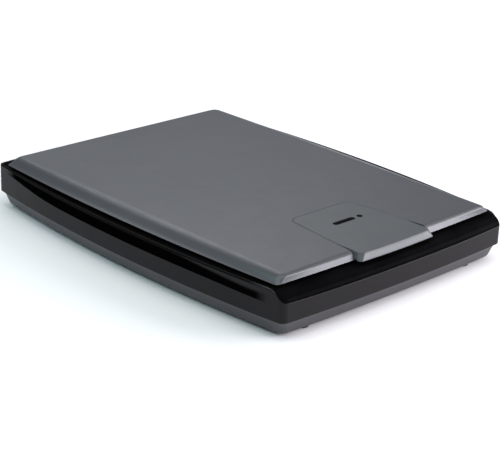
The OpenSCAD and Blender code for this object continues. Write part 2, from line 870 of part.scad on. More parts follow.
module lid_liner() {
    color("darkslategray") difference() {
        loft([liner_z, liner_z + liner_t], [lid_outline(0.02, 2.3), lid_outline(0.25, 2.3)]);
        for (sx = [-1, 1])
            block([sx * hinge_x - 10.5, pivot_y - 5, 30], [sx * hinge_x + 10.5, 180, 60]);
    }
}

module foam_pad() {
    low_z = glass_z + mat_gap + mat_t;
    color("dimgray") block(
        [-108, window_y - 148.5, low_z], [108, window_y + 148.5, liner_z]
    );
}

module white_mat() {
    low_z = glass_z + mat_gap;
    color("white") block(
        [-108.4, window_y - 148.9, low_z], [108.4, window_y + 148.9, low_z + mat_t]
    );
}

// A bracket at each hinge: a plate under the lid's skin and two ears on the pin
module lid_brackets() {
    top = lid_top_z - lid_skin;
    inside = leg_size.x / 2 + 0.3;
    color("dimgray") for (sx = [-1, 1]) translate([sx * hinge_x, 0, 0]) difference() {
        union() {
            block([-10.2, 150, top - 1.2], [10.2, pivot_y - 3.5, top]);
            for (x = [-inside - ear_t, inside]) {
                block([x, pivot_y - 4.2, pivot_z - 0.6], [x + ear_t, pivot_y + 2, top]);
                bar_x(x, x + ear_t, pivot_y, pivot_z, knuckle_r);
            }
        }
        bar_x(-20, 20, pivot_y, pivot_z, pin_r + pin_gap);
        for (x = [-8, 8]) translate([x, 155, 0]) cylinder(r = 0.9, h = 60);
    }
}

module lid_screws() {
    head_z = lid_top_z - lid_skin - 1.2;
    color("silver") for (sx = [-1, 1]) for (x = [-8, 8]) translate([sx * hinge_x + x, 155, 0]) {
        translate([0, 0, head_z]) cylinder(r = 0.9, h = 2.2);
        translate([0, 0, head_z - 1]) difference() {
            cylinder(r = 1.7, h = 1);
            for (a = [0, 90]) rotate(a) cube([2, 0.45, 0.9], center = true);
        }
    }
}

module lid_bumpers() {
    height = liner_z - bezel_z - mat_gap;
    color("darkslategray") for (sx = [-1, 1]) for (y = [-166, 150])
        translate([sx * 115.5, y, liner_z - height]) cylinder(r = 2.6, h = height);
}

bottom_tray();
side_casing();
platen_bezel();
platen_glass();
glass_gasket();
reference_strip();
rubber_feet();
case_screws();
guide_rod();
rod_clips();
slide_rail();
hinge_sleeves();
motor_bracket();
stepper_motor();
gear_shaft();
drive_belt();
idler_bracket();
idler_shaft();
tension_spring();
main_board();
board_parts();
board_screws();
usb_socket();
home_sensor();
ribbon_fixed();
ribbon_moving();
drive_gear();
motor_pinion();
motor_shaft();
idler_pulley();
carriage_frame();
rod_bush();
slider_shoe();
belt_clamp();
sensor_housing();
sensor_board();
sensor_window();
rod_lens();
light_guide();
lift_springs();
glass_spacers();
hinge_legs();
hinge_pins();
lid_cover();
lid_tab();
lid_liner();
foam_pad();
white_mat();
lid_brackets();
lid_screws();
lid_bumpers();
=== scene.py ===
"""Looks of the flatbed scanner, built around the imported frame. Shapes are worked out in millimetres."""

import json
import math

import bmesh
import bpy
from mathutils import Matrix, Vector


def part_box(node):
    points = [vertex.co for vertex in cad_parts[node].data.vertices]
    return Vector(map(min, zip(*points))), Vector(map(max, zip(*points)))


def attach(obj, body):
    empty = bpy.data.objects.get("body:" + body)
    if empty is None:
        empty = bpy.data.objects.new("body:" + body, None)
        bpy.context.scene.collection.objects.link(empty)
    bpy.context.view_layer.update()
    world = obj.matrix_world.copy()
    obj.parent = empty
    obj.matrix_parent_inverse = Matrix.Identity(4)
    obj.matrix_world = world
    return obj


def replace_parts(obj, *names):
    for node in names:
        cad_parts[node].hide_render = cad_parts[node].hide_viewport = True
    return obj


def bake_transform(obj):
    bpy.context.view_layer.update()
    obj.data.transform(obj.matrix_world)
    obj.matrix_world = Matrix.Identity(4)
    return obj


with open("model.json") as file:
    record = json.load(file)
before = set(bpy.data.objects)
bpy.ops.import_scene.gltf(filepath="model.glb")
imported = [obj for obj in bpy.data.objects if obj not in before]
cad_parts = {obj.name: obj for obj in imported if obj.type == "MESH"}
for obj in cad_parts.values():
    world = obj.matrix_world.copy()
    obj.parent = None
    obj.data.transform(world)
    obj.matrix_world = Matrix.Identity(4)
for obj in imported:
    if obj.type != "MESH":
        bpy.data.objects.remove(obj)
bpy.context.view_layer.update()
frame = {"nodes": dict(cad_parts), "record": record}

MM = 0.001


def node_box(name):
    """Lowest and highest corner of a CAD node, in millimetres."""
    low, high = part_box(name)
    return Vector(low) / MM, Vector(high) / MM


# ---- sizes

TRAY_LOW, TRAY_HIGH = node_box("bottom_tray")
CASING_LOW, CASING_HIGH = node_box("side_casing")
BEZEL_HIGH = node_box("platen_bezel")[1]
GLASS_LOW, GLASS_HIGH = node_box("platen_glass")
LID_LOW, LID_HIGH = node_box("lid_cover")
TAB_LOW, TAB_HIGH = node_box("lid_tab")
FOAM_LOW, FOAM_HIGH = node_box("foam_pad")
MAT_LOW, MAT_HIGH = node_box("white_mat")
SOCKET_LOW, SOCKET_HIGH = node_box("usb_socket")
BELT_LOW, BELT_HIGH = node_box("drive_belt")

# Casing: plan bulges, corner radius and walls
SIDE_BOW, END_BOW, CASING_R = 10.75, 3.5, 6.0
CASING_HX = CASING_HIGH.x - SIDE_BOW
CASING_HY = CASING_HIGH.y - END_BOW
RAIL_WALL, CORNER_WALL, INNER_BOW = 2.2, 2.4, 7.25
SEAM_Z, RAIL_Z, BEZEL_Z = CASING_LOW.z, CASING_HIGH.z, BEZEL_HIGH.z
FRONT_Z = 30.6
STEP_FRONT_Y, STEP_REAR_Y = -185.0, -167.0
SCOOP_LOW_Z, SCOOP_REACH, SCOOP_DEPTH = 28.9, 168.0, 2.0
SCOOP_DIP, SCOOP_RISE, RAIL_ROUND = 1.2, 6.5, 0.75
POST_X, POST_Y = 126.0, 70.0
FOOT_X, FOOT_Y = 95.0, 169.6

# Bezel: front nose, window and the valley that the hinges stand in
NOSE_DEPTH, NOSE_WALL = 13.5, 2.2
BEZEL_UNDER_Z = 35.8
WINDOW_HX, WINDOW_FRONT_Y, WINDOW_REAR_Y = 110.0, -163.0, 138.0
VALLEY_Z, VALLEY_HX, VALLEY_FRONT_Y, VALLEY_REAR_Y = 37.2, 120.0, 160.0, 177.0
HINGE_X, PIVOT_Y, LEG_HALF = 86.0, 168.5, (6.25, 3.25)

# Tray: how far its wall leans out from the underside to the seam
TRAY_HX, TRAY_HY, TRAY_BOW, TRAY_END_BOW = 123.6, 176.0, 9.8, 2.4
TRAY_LEAN_X, TRAY_LEAN_Y, TRAY_ROUND, TRAY_WALL = 4.0, 4.2, 3.0, 2.0

# Lid: flat top, bowed lower edge that spreads to the rear, skin, and the pan that the tab sits in
TOP_HX, TOP_HY = 118.0, 169.0
LID_HX, LID_HY = 125.0, 170.2
LID_BOW, LID_END_BOW, LID_FLARE = 6.0, 2.6, 0.0256
LID_LOW_R, LID_TOP_R = 4.0, 6.0
LID_EDGE_Z, LID_TOP_Z = LID_LOW.z, LID_HIGH.z
LID_SKIN, LIP_HOLLOW, LIP_ROUND = 2.0, 0.8, 0.22
CREASE_START, CREASE_REACH = 0.66, 5.0

# Tab: it spreads to the front, where its sides lean out
TAB_HX, TAB_REAR_HX = TAB_HIGH.x + 1.2, 35.6
TAB_R, TAB_FRONT_R, TAB_TOP_R, TAB_BOW = 9.0, 3.4, 6.5, 1.0
TAB_GAP, TAB_LEAN = 0.4, 2.6
FLARE_Y, PAN_DROP, PAN_WALL, PAN_FLOOR = -146.0, 2.8, 2.2, 1.5
TAB_WALL, TAB_EDGE, TAB_SET_BACK = 2.2, 0.55, 2.3
TAB_LEAN_Y, TAB_LIP_Y, TAB_BACK_Y = -148.0, -172.0, -174.0
NOTCH_HX, NOTCH_DEPTH = 10.5, 4.5

# Height over the whole part, which cutters reach up to
CLEAR_Z = 60

# Signs of the four corners of the plan, and places of the screws that hold the board
CORNERS = [(sx, sy) for sx in (-1, 1) for sy in (-1, 1)]
BOARD_SCREWS = [(x, y) for x in (16, 62) for y in (163, 172.5)]


# ---- outlines and skins

def quarter(steps):
    """Angles of a quarter turn in equal steps, both ends included."""
    return [math.radians(90 * k / steps) for k in range(steps + 1)]


def bowed(hx, hy, bow_x, bow_y, r, n=44, m=10):
    """Rectangle with bowed sides and round corners. Points crowd towards the corners."""
    side_end = math.atan(2 * bow_x / (hy - r))
    end_start = math.pi / 2 - math.atan(2 * bow_y / (hx - r))
    half = []
    for i in range(n + 1):
        t = -math.cos(math.pi * i / n)
        a = math.atan(2 * bow_x * t / (hy - r))
        half.append((hx - r + bow_x * (1 - t * t) + r * math.cos(a), (hy - r) * t + r * math.sin(a)))
    corner = []
    for i in range(1, m):
        a = side_end + (end_start - side_end) * i / m
        corner.append((hx - r + r * math.cos(a), hy - r + r * math.sin(a)))
    half += corner
    for i in range(n + 1):
        t = math.cos(math.pi * i / n)
        a = math.atan(2 * bow_y * t / (hx - r))
        half.append(((hx - r) * t + r * math.sin(a), hy - r + bow_y * (1 - t * t) + r * math.cos(a)))
    half += [(-x, y) for x, y in reversed(corner)]
    return half + [(-x, -y) for x, y in half]


def round_rect(x0, y0, x1, y1, r, m=8, steps=1):
    """Rectangle with round corners, its sides cut into steps."""
    points = []
    corners = ((x1 - r, y0 + r, -90), (x1 - r, y1 - r, 0), (x0 + r, y1 - r, 90), (x0 + r, y0 + r, 180))
    for k, (cx, cy, start) in enumerate(corners):
        for i in range(m + 1):
            a = math.radians(start + 90 * i / m)
            points.append((cx + r * math.cos(a), cy + r * math.sin(a)))
        nx, ny, turn = corners[(k + 1) % 4]
        a = math.radians(turn)
        after = (nx + r * math.cos(a), ny + r * math.sin(a))
        last = points[-1]
        for i in range(1, steps):
            points.append(tuple(last[c] + (after[c] - last[c]) * i / steps for c in (0, 1)))
    return points


def circle(x, y, r, n=32):
    """Circle round (x, y)."""
    turn = 2 * math.pi / n
    return [(x + r * math.cos(turn * i), y + r * math.sin(turn * i)) for i in range(n)]


def level(outline, z):
    """A flat outline lifted to one height."""
    return [(x, y, z) for x, y in outline]


def smooth(t):
    """Eases t from 0 to 1, flat at both ends and outside them."""
    t = min(1.0, max(0.0, t))
    return t * t * (3 - 2 * t)


def skin(rings, loop=False):
    """Points and faces of a closed skin through matching rings, capped unless it is a loop."""
    n = len(rings[0])
    count = len(rings)
    points = [p for ring in rings for p in ring]
    faces = []
    for k in range(count if loop else count - 1):
        a, b = k * n, (k + 1) % count * n
        faces += [(a + i, a + (i + 1) % n, b + (i + 1) % n, b + i) for i in range(n)]
    if not loop:
        faces.append(tuple(reversed(range(n))))
        faces.append(tuple((count - 1) * n + i for i in range(n)))
    return points, faces


def prism(outline, z0, z1):
    """A flat outline carried from one height to another."""
    return skin([level(outline, z0), level(outline, z1)])


def along_x(profile, x0, x1):
    """A shape drawn as (y, z), carried along X."""
    return skin([[(x, y, z) for y, z in profile] for x in (x0, x1)])


def box(low, high):
    """A block between two corners."""
    (x0, y0, z0), (x1, y1, z1) = low, high
    return prism([(x0, y0), (x1, y0), (x1, y1), (x0, y1)], z0, z1)


# ---- mesh work

def solid(name, *shapes):
    """One object from closed skins given in millimetres, with its faces turned outwards."""
    bm = bmesh.new()
    for points, faces in shapes:
        verts = [bm.verts.new(Vector(p) * MM) for p in points]
        for face in faces:
            bm.faces.new([verts[i] for i in face])
    bmesh.ops.recalc_face_normals(bm, faces=bm.faces)
    mesh = bpy.data.meshes.new(name)
    bm.to_mesh(mesh)
    bm.free()
    obj = bpy.data.objects.new(name, mesh)
    bpy.context.scene.collection.objects.link(obj)
    return obj


def bake_modifiers(obj):
    """Replaces the mesh with what its modifiers make of it."""
    graph = bpy.context.evaluated_depsgraph_get()
    made = bpy.data.meshes.new_from_object(obj.evaluated_get(graph))
    obj.modifiers.clear()
    old, obj.data = obj.data, made
    bpy.data.meshes.remove(old)
    return obj


def combine(obj, operation, *shapes):
    """Joins or cuts obj with closed skins, one after another."""
    for shape in shapes:
        tool = solid("tool", shape)
        mod = obj.modifiers.new("combine", "BOOLEAN")
        mod.operation = operation
        mod.solver = "EXACT"
        mod.object = tool
        bake_modifiers(obj)
        bpy.data.objects.remove(tool)
    return obj


def tidy_mesh(obj):
    """Merges doubled points and drops slivers that a cut left."""
    reach = 0.004 * MM
    bm = bmesh.new()
    bm.from_mesh(obj.data)
    bmesh.ops.remove_doubles(bm, verts=bm.verts, dist=reach)
    bmesh.ops.dissolve_degenerate(bm, edges=bm.edges, dist=reach)
    bm.to_mesh(obj.data)
    bm.free()
    return obj


def soften(obj, width, angle):
    """Small rounds on the edges sharper than angle."""
    mod = obj.modifiers.new("edges", "BEVEL")
    mod.width = width * MM
    mod.segments = 2
    mod.limit_method = "ANGLE"
    mod.angle_limit = math.radians(angle)
    mod.miter_outer = "MITER_ARC"


def smooth_faces(obj, angle):
    """Smooth shading that stops at edges sharper than angle, weighted by face area."""
    bm = bmesh.new()
    bm.from_mesh(obj.data)
    for face in bm.faces:
        face.smooth = True
    for edge in bm.edges:
        edge.smooth = edge.is_manifold and edge.calc_face_angle(0) < math.radians(angle)
    bm.to_mesh(obj.data)
    bm.free()
    mod = obj.modifiers.new("normals", "WEIGHTED_NORMAL")
    mod.keep_sharp = True
    return obj


def place(obj, looks, body, slot, *nodes):
    """Gives a piece its slot's material and its body, and hides the CAD nodes that it stands for."""
    obj.data.materials.clear()
    obj.data.materials.append(looks[slot])
    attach(obj, body)
    if nodes:
        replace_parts(obj, *nodes)
    return obj


# ---- materials

class Look:
    """A node material round one Principled shader. Patterns lie in the row frame, in millimetres."""

    def __init__(self, name, color, rough, **sockets):
        self.mat = bpy.data.materials.new(name)
        self.mat.use_nodes = True
        self.tree = self.mat.node_tree
        self.tree.nodes.clear()
        self.out = self.add("OutputMaterial")
        self.shader = self.add("BsdfPrincipled", Base_Color=(*color, 1), Roughness=rough, **sockets)
        self.link(self.shader.outputs[0], self.out.inputs["Surface"])
        self.place = self.add("TexCoord").outputs["Object"]
        self.color = color
        self.rough = rough

    def add(self, kind, **values):
        """A new node with its inputs set. An underscore in an input's name stands for a space."""
        node = self.tree.nodes.new("ShaderNode" + kind)
        for key, value in values.items():
            node.inputs[key.replace("_", " ")].default_value = value
        return node

    def link(self, start, end):
        self.tree.links.new(start, end)

    def stretched(self, x=1.0, y=1.0, z=1.0):
        """Coordinates in millimetres, divided by a feature's size along each axis."""
        node = self.add("Mapping", Scale=(1 / (x * MM), 1 / (y * MM), 1 / (z * MM)))
        self.link(self.place, node.inputs["Vector"])
        return node.outputs[0]

    def noise(self, size, detail=3.0):
        """Cloudy pattern whose features are size wide, in millimetres or one size for each axis."""
        sizes = size if isinstance(size, tuple) else (size, size, size)
        node = self.add("TexNoise", Scale=1.0, Detail=detail, Roughness=0.55)
        self.link(self.stretched(*sizes), node.inputs["Vector"])
        return node.outputs["Fac"]

    def cells(self, size, feature="F1"):
        """Cells size wide."""
        node = self.add("TexVoronoi", Scale=1.0)
        node.feature = feature
        self.link(self.stretched(size, size, size), node.inputs["Vector"])
        return node.outputs["Distance"]

    def bands(self, size, direction="X", distortion=0.0):
        """Stripes size apart."""
        node = self.add("TexWave", Scale=math.pi / 10, Distortion=distortion)
        node.bands_direction = direction
        self.link(self.stretched(size, size, size), node.inputs["Vector"])
        return node.outputs["Fac"]

    def spread(self, value, low, high, start=0.35, end=0.65):
        """value between start and end, spread from low to high."""
        node = self.add("MapRange", From_Min=start, From_Max=end, To_Min=low, To_Max=high)
        self.link(value, node.inputs["Value"])
        return node.outputs[0]

    def mixed(self, share, a, b):
        """Colour from a to b. Either can be a colour or a socket."""
        node = self.add("Mix")
        node.data_type = "RGBA"
        for key, value in (("A", a), ("B", b)):
            socket = next(s for s in node.inputs if s.name == key and s.type == "RGBA")
            if isinstance(value, bpy.types.NodeSocket):
                self.link(value, socket)
            else:
                socket.default_value = (*value, 1)
        self.link(share, node.inputs["Factor"])
        return next(s for s in node.outputs if s.type == "RGBA")

    def paint(self, socket):
        """Colours the shader from a socket."""
        self.link(socket, self.shader.inputs["Base Color"])
        return self

    def mottle(self, tone, size):
        """Slow drift in the colour, as a socket."""
        low = tuple(c * (1 - tone) for c in self.color)
        high = tuple(c * (1 + tone) for c in self.color)
        return self.mixed(self.spread(self.noise(size), 0, 1), low, high)

    def vary_rough(self, amount, size):
        """Slow drift in the roughness, amount from end to end."""
        value = self.spread(self.noise(size, 4), self.rough - amount / 2, self.rough + amount / 2)
        self.link(value, self.shader.inputs["Roughness"])
        return self

    def worn(self, tone, tone_size, amount, size):
        """Drift in the colour and in the roughness."""
        self.paint(self.mottle(tone, tone_size))
        return self.vary_rough(amount, size)

    def relief(self, *layers):
        """Bumps from (height, depth in millimetres) layers, one on top of another."""
        before = None
        for height, depth in layers:
            node = self.add("Bump", Strength=1.0, Distance=depth * MM)
            self.link(height, node.inputs["Height"])
            if before is not None:
                self.link(before, node.inputs["Normal"])
            before = node.outputs["Normal"]
        self.link(before, self.shader.inputs["Normal"])
        return self


def painted(name, color, rough, **sockets):
    """Satin paint with fine metal flake over moulded plastic."""
    look = Look(name, color, rough, **sockets)
    drift = look.mottle(0.035, 60)
    flake = look.spread(look.cells(0.35), 0.0, 0.16, 0.2, 0.9)
    bright = tuple(min(1.0, c * 1.6) for c in color)
    look.paint(look.mixed(flake, drift, bright))
    look.vary_rough(0.05, 22)
    return look.relief((look.noise(1.6, 2), 0.004), (look.noise(0.25, 2), 0.0015)).mat


def moulded(name, color, rough, grain=0.5, depth=0.01, **sockets):
    """Moulded plastic with a spark-eroded grain."""
    look = Look(name, color, rough, **sockets)
    look.worn(0.08, 18, 0.1, 9)
    return look.relief((look.noise(grain, 3), depth)).mat


def metal(name, color, rough, along=None, **sockets):
    """Bare metal, drawn or brushed along one axis where that is given."""
    look = Look(name, color, rough, Metallic=1.0, **sockets)
    look.worn(0.07, 7, 0.12, 5)
    sizes = {None: (0.4, 0.4, 0.4), "x": (30, 0.12, 0.12), "y": (0.12, 30, 0.12), "z": (0.12, 0.12, 30)}
    return look.relief((look.noise(sizes[along], 3), 0.004)).mat


def lacquer(name, color, rough, specular):
    """Dark lacquer under a thin coat, with painted shade: where the casing's shade attribute is set, the
    scoops and the rail tops turn black and lose their shine.
    """
    look = Look(name, color, rough, Specular_IOR_Level=specular)
    drift = look.mottle(0.05, 40)
    flake = look.spread(look.cells(0.3), 0.0, 0.2, 0.2, 0.9)
    body = look.mixed(flake, drift, tuple(c * 1.7 for c in color))
    inlay = look.add("Attribute")
    inlay.attribute_name = "painted_shade"
    # Painted shade: the attribute mixes the lacquer to near black in the scoops and on the rail tops.
    look.paint(look.mixed(inlay.outputs["Fac"], body, (0.0012, 0.0012, 0.001)))
    look.vary_rough(0.05, 25)
    # The painted shade also takes the shine and the coat away there.
    for key, value in (("Specular IOR Level", specular), ("Coat Weight", 0.05)):
        look.link(look.spread(inlay.outputs["Fac"], value, 0.0, 0.0, 1.0), look.shader.inputs[key])
    return look.relief((look.noise(2.2, 2), 0.003), (look.noise(0.3, 2), 0.001)).mat


def gloss_black(name):
    """Polished black plastic with faint haze and hairline swirls."""
    look = Look(name, (0.0028, 0.0026, 0.003), 0.24, Specular_IOR_Level=0.004)
    look.worn(0.25, 30, 0.1, 14)
    return look.relief((look.noise(5, 2), 0.004), (look.noise((9, 0.3, 0.3), 2), 0.0006)).mat


def window_glass(name, tint, rough=0.02):
    """Clear glass that lets lamplight through to what is under it."""
    look = Look(name, tint, rough, Transmission_Weight=1.0, IOR=1.5)
    look.worn(0.01, 50, 0.01, 35)
    clear = look.add("BsdfTransparent", Color=(*tint, 1))
    rays = look.add("LightPath")
    mix = look.add("MixShader")
    look.link(rays.outputs["Is Shadow Ray"], mix.inputs[0])
    look.link(look.shader.outputs[0], mix.inputs[1])
    look.link(clear.outputs[0], mix.inputs[2])
    look.link(mix.outputs[0], look.out.inputs["Surface"])
    return look.mat


def rubber(name, color, specular=0.3):
    """Matt rubber with a fine sanded surface."""
    look = Look(name, color, 0.75, Specular_IOR_Level=specular)
    look.worn(0.2, 3, 0.12, 2)
    return look.relief((look.noise(0.3, 4), 0.02)).mat


def foam(name, color):
    """Open-cell foam: small pits with soft walls, and painted shade that darkens the middle of each pit.
    """
    look = Look(name, color, 0.95, Specular_IOR_Level=0.15, Sheen_Weight=0.3)
    pits = look.cells(0.9, "DISTANCE_TO_EDGE")
    # Painted shade: the colour goes darker towards the middle of each pit, where the bump is lowest.
    share = look.spread(pits, 0.0, 0.6, 0.0, 0.25)
    look.paint(look.mixed(share, look.mottle(0.1, 8), (0.03, 0.03, 0.032)))
    return look.relief((look.spread(pits, 1, 0, 0.0, 0.3), 0.12), (look.noise(0.4, 3), 0.05)).mat


def film(name, color):
    """White backing film with a faint weave and a satin face."""
    look = Look(name, color, 0.5, Specular_IOR_Level=0.4)
    look.worn(0.02, 35, 0.08, 20)
    return look.relief((look.noise(0.5, 2), 0.004), (look.noise(6, 2), 0.01)).mat


def circuit(name, color):
    """Solder mask over copper runs that show through it."""
    look = Look(name, color, 0.3, Coat_Weight=0.4, Coat_Roughness=0.15)
    runs = look.spread(look.bands(0.9, "X", 2.0), 0.0, 1.0, 0.55, 0.62)
    blocks = look.spread(look.cells(6.0), 0.0, 1.0, 0.35, 0.36)
    across = look.spread(look.bands(1.3, "Y", 2.5), 0.0, 1.0, 0.6, 0.66)
    lighter = tuple(min(1.0, c * 1.7 + 0.01) for c in color)
    first = look.mixed(runs, look.mottle(0.1, 10), lighter)
    look.paint(look.mixed(look.spread(across, 0.0, 0.5, 0, 1), first, lighter))
    look.vary_rough(0.1, 4)
    return look.relief((runs, 0.02), (blocks, 0.01)).mat


def ribbon_film(name, color):
    """Flat flexible cable: fine conductors side by side under a clear film."""
    look = Look(name, color, 0.35, Coat_Weight=0.3)
    strands = look.spread(look.bands(1.0, "X"), 0.0, 1.0, 0.3, 0.7)
    look.paint(look.mixed(strands, look.mottle(0.03, 20), (0.42, 0.43, 0.45)))
    look.vary_rough(0.06, 12)
    return look.relief((strands, 0.04)).mat


def toothed_rubber(name, color):
    """Belt rubber with fine ribs across it."""
    look = Look(name, color, 0.6, Specular_IOR_Level=0.35)
    look.worn(0.25, 4, 0.1, 3)
    return look.relief((look.bands(0.5, "X"), 0.03), (look.noise(0.3, 3), 0.01)).mat


def make_looks():
    """One material for each of the record's slots, and a blacker rubber for the lid's bumpers."""
    return {
        "lid_silver": painted("lid_paint", (0.0655, 0.0697, 0.0764), 0.36, Metallic=0.3),
        "tab_silver": painted("tab_paint", (0.068, 0.0755, 0.080), 0.38, Metallic=0.3),
        "casing_charcoal": lacquer("casing_lacquer", (0.0130, 0.0116, 0.0124), 0.38, 0.09),
        "bezel_black": gloss_black("bezel_gloss"),
        "tray_grey": painted("tray_paint", (0.060, 0.059, 0.066), 0.42, Metallic=0.3),
        "bed_glass": window_glass("bed_glass", (0.93, 0.97, 0.96)),
        "trim_black": foam("trim_tape", (0.02, 0.02, 0.02)),
        "strip_white": film("strip_white", (0.88, 0.88, 0.87)),
        "rubber_dark": rubber("rubber_dark", (0.035, 0.036, 0.04)),
        "bumper_black": rubber("bumper_black", (0.004, 0.004, 0.004), 0.03),
        "steel": metal("steel_drawn", (0.58, 0.59, 0.61), 0.22, "y"),
        "plated_steel": metal("steel_plated", (0.62, 0.63, 0.62), 0.35),
        "inner_black": moulded("inner_black", (0.022, 0.022, 0.024), 0.55),
        "nylon_white": moulded("nylon_white", (0.8, 0.79, 0.74), 0.4, 0.3, 0.004, Subsurface_Weight=0.05),
        "bronze": metal("bronze_turned", (0.66, 0.42, 0.19), 0.3, "y"),
        "belt_rubber": toothed_rubber("belt_rubber", (0.018, 0.018, 0.018)),
        "board_green": circuit("board_green", (0.012, 0.105, 0.04)),
        "chip_black": moulded("chip_black", (0.02, 0.02, 0.021), 0.5, 0.15, 0.004),
        "socket_shell": metal("socket_shell", (0.70, 0.70, 0.69), 0.25),
        "ribbon_white": ribbon_film("ribbon_white", (0.84, 0.84, 0.82)),
        "sensor_black": moulded("sensor_black", (0.014, 0.014, 0.014), 0.65, 0.4, 0.012),
        "sensor_glass": window_glass("sensor_glass", (0.92, 0.96, 0.96)),
        "lens_grey": moulded("lens_grey", (0.16, 0.17, 0.19), 0.2, 0.8, 0.01),
        "guide_clear": moulded("guide_clear", (0.80, 0.86, 0.80), 0.12, 2, 0.01, Transmission_Weight=0.6),
        "liner_dark": moulded("liner_dark", (0.04, 0.04, 0.043), 0.6, 0.7, 0.02),
        "foam_grey": foam("foam_grey", (0.16, 0.16, 0.165)),
        "mat_white": film("mat_white", (0.86, 0.86, 0.855)),
    }


# ---- lid

def lid_outline(t, inset=0.0, hollow=0.0):
    """Lid outline: t is 0 at the lower edge and 1 at the flat top. Its long sides come in by hollow."""
    hx = LID_HX + (TOP_HX - LID_HX) * t - inset
    hy = LID_HY + (TOP_HY - LID_HY) * t - inset
    r = max(0.5, LID_LOW_R + (LID_TOP_R - LID_LOW_R) * t - inset / 2)
    plan = bowed(hx, hy, LID_BOW * (1 - t), LID_END_BOW * (1 - t), r)
    narrow = 1 - hollow / LID_HX
    return [(x * narrow * (1 + LID_FLARE * (1 - t) * (1 + y / LID_HY) / 2), y) for x, y in plan]


def curve(a, b, c, u):
    """Point at u on the soft curve from a to c that heads for b."""
    return tuple((1 - u) ** 2 * p + 2 * u * (1 - u) * q + u * u * r for p, q, r in zip(a, b, c))


def crease_rings(steps, inset=0.0, drop=0.0):
    """Rings of the soft crease, from the top of the sloped side to the flat top."""
    rise = LID_TOP_Z - LID_EDGE_Z
    start = level(lid_outline(CREASE_START, inset), LID_EDGE_Z + rise * CREASE_START)
    corner = level(lid_outline(1, inset), LID_TOP_Z - drop)
    end = level(lid_outline(1, CREASE_REACH + inset), LID_TOP_Z - drop)
    return [[curve(a, b, c, k / steps) for a, b, c in zip(start, corner, end)] for k in range(steps + 1)]


def lid_skin_rings():
    """The lid's shell: ceiling, inner wall, crisp lower edge, sloped side, soft crease, flat top."""
    rise = LID_TOP_Z - LID_EDGE_Z
    rings = [
        level(lid_outline(0.8, LID_SKIN), LID_TOP_Z - LID_SKIN),
        level(lid_outline(0.1, LID_SKIN), LID_EDGE_Z + 0.1 * rise),
        level(lid_outline(0.0, LID_SKIN - 0.2), LID_EDGE_Z),
    ]
    for a in quarter(3):
        up = LIP_ROUND * (1 - math.cos(a))
        rings.append(level(lid_outline(up / rise, LIP_ROUND * (1 - math.sin(a))), LID_EDGE_Z + up))
    for t in (0.12, 0.22, 0.32, 0.45, CREASE_START - 0.05):
        hollow = LIP_HOLLOW * math.sin(math.pi * (t / CREASE_START) ** 0.6)
        rings.append(level(lid_outline(t, 0.0, hollow), LID_EDGE_Z + rise * t))
    rings += crease_rings(12)
    rings.append(level(lid_outline(1, CREASE_REACH + 1), LID_TOP_Z))
    return rings


def pan_floor(y):
    """Height of the pan's floor, which falls towards the front so the tab can be gripped."""
    return TAB_HIGH.z - 2.0 - PAN_DROP * smooth((FLARE_Y - y) / 30)


def tab_plan(grow=0.0, front_r=TAB_FRONT_R, steps=24):
    """Outline of the tab, grown all round. It starts at the middle of the front."""
    reach = TAB_HX - front_r
    half = [(reach * i / 14, TAB_LOW.y - grow + TAB_BOW * (i / 14) ** 2) for i in range(14)]
    cy, r = TAB_LOW.y + TAB_BOW + front_r, front_r + grow
    turns = [math.radians(-88 + 90 * i / 10) for i in range(11)]
    arc = [(reach + r * math.cos(a), cy + r * math.sin(a)) for a in turns]
    rear_y, r = TAB_HIGH.y - TAB_R, TAB_R + grow
    last = arc[-1]
    first = (TAB_REAR_HX + grow, rear_y)
    run = [tuple(last[c] + (first[c] - last[c]) * i / steps for c in (0, 1)) for i in range(1, steps)]
    rear_x = TAB_REAR_HX - TAB_R
    rear = [(rear_x + r * math.cos(a), rear_y + r * math.sin(a)) for a in quarter(12)]
    right = half + arc + run + rear
    return right + [(-x, y) for x, y in reversed(right[1:])]


def pocket_plan(grow=0.0):
    """Plan of the tab's pocket, open to the front."""
    gap = TAB_GAP + grow
    front = LID_LOW.y - 12
    rear = [(x, y) for x, y in tab_plan(gap) if x > 0 and y > -168]
    side = [(TAB_HX + gap, front), (TAB_HX + gap, -176)] + rear
    return side + [(-x, y) for x, y in reversed(side)]


def floor_line(drop):
    """Side view of the pan's floor, from the front to the rear, lowered by drop."""
    steps = 16
    rear = TAB_HIGH.y + 20
    places = [FLARE_Y - 32 + 32 * k / steps for k in range(steps + 1)]
    run = [(y, pan_floor(y) - drop) for y in places]
    return [(LID_LOW.y - 20, run[0][1])] + run + [(rear, run[-1][1])]


def clipped(shape, *limits):
    """The part of shape inside every limit, as points and faces in millimetres."""
    obj = combine(solid("clipped", shape), "INTERSECT", *limits)
    points = [tuple(v.co / MM) for v in obj.data.vertices]
    faces = [tuple(p.vertices) for p in obj.data.polygons]
    bpy.data.objects.remove(obj)
    return points, faces


def above(line, x0, x1, top):
    """Everything over a side-view line."""
    return along_x(line + [(line[-1][0], top), (line[0][0], top)], x0, x1)


def lid_shell(looks):
    """Lid cover: shell, pan for the tab, and the notches over the hinges."""
    obj = solid("lid_shell", skin(lid_skin_rings()))
    core = skin([level(lid_outline(0, 0.6), LID_EDGE_Z + 0.02)] + crease_rings(5, 0.6, 0.3))
    reach = TAB_HIGH.x + 20
    over = above(floor_line(PAN_FLOOR), -reach, reach, CLEAR_Z)
    pan = prism(pocket_plan(PAN_WALL), 40, LID_TOP_Z)
    combine(obj, "UNION", clipped(pan, over, core))
    over = above(floor_line(0), -reach, reach, CLEAR_Z + 10)
    combine(obj, "DIFFERENCE", clipped(prism(pocket_plan(), 40, CLEAR_Z), over))
    for x in (-HINGE_X, HINGE_X):
        low = (x - NOTCH_HX, PIVOT_Y - NOTCH_DEPTH, 30)
        combine(obj, "DIFFERENCE", box(low, (x + NOTCH_HX, 180, LID_TOP_Z - LID_SKIN)))
    tidy_mesh(obj)
    smooth_faces(obj, 26)
    return place(obj, looks, "lid", "lid_silver", "lid_cover")


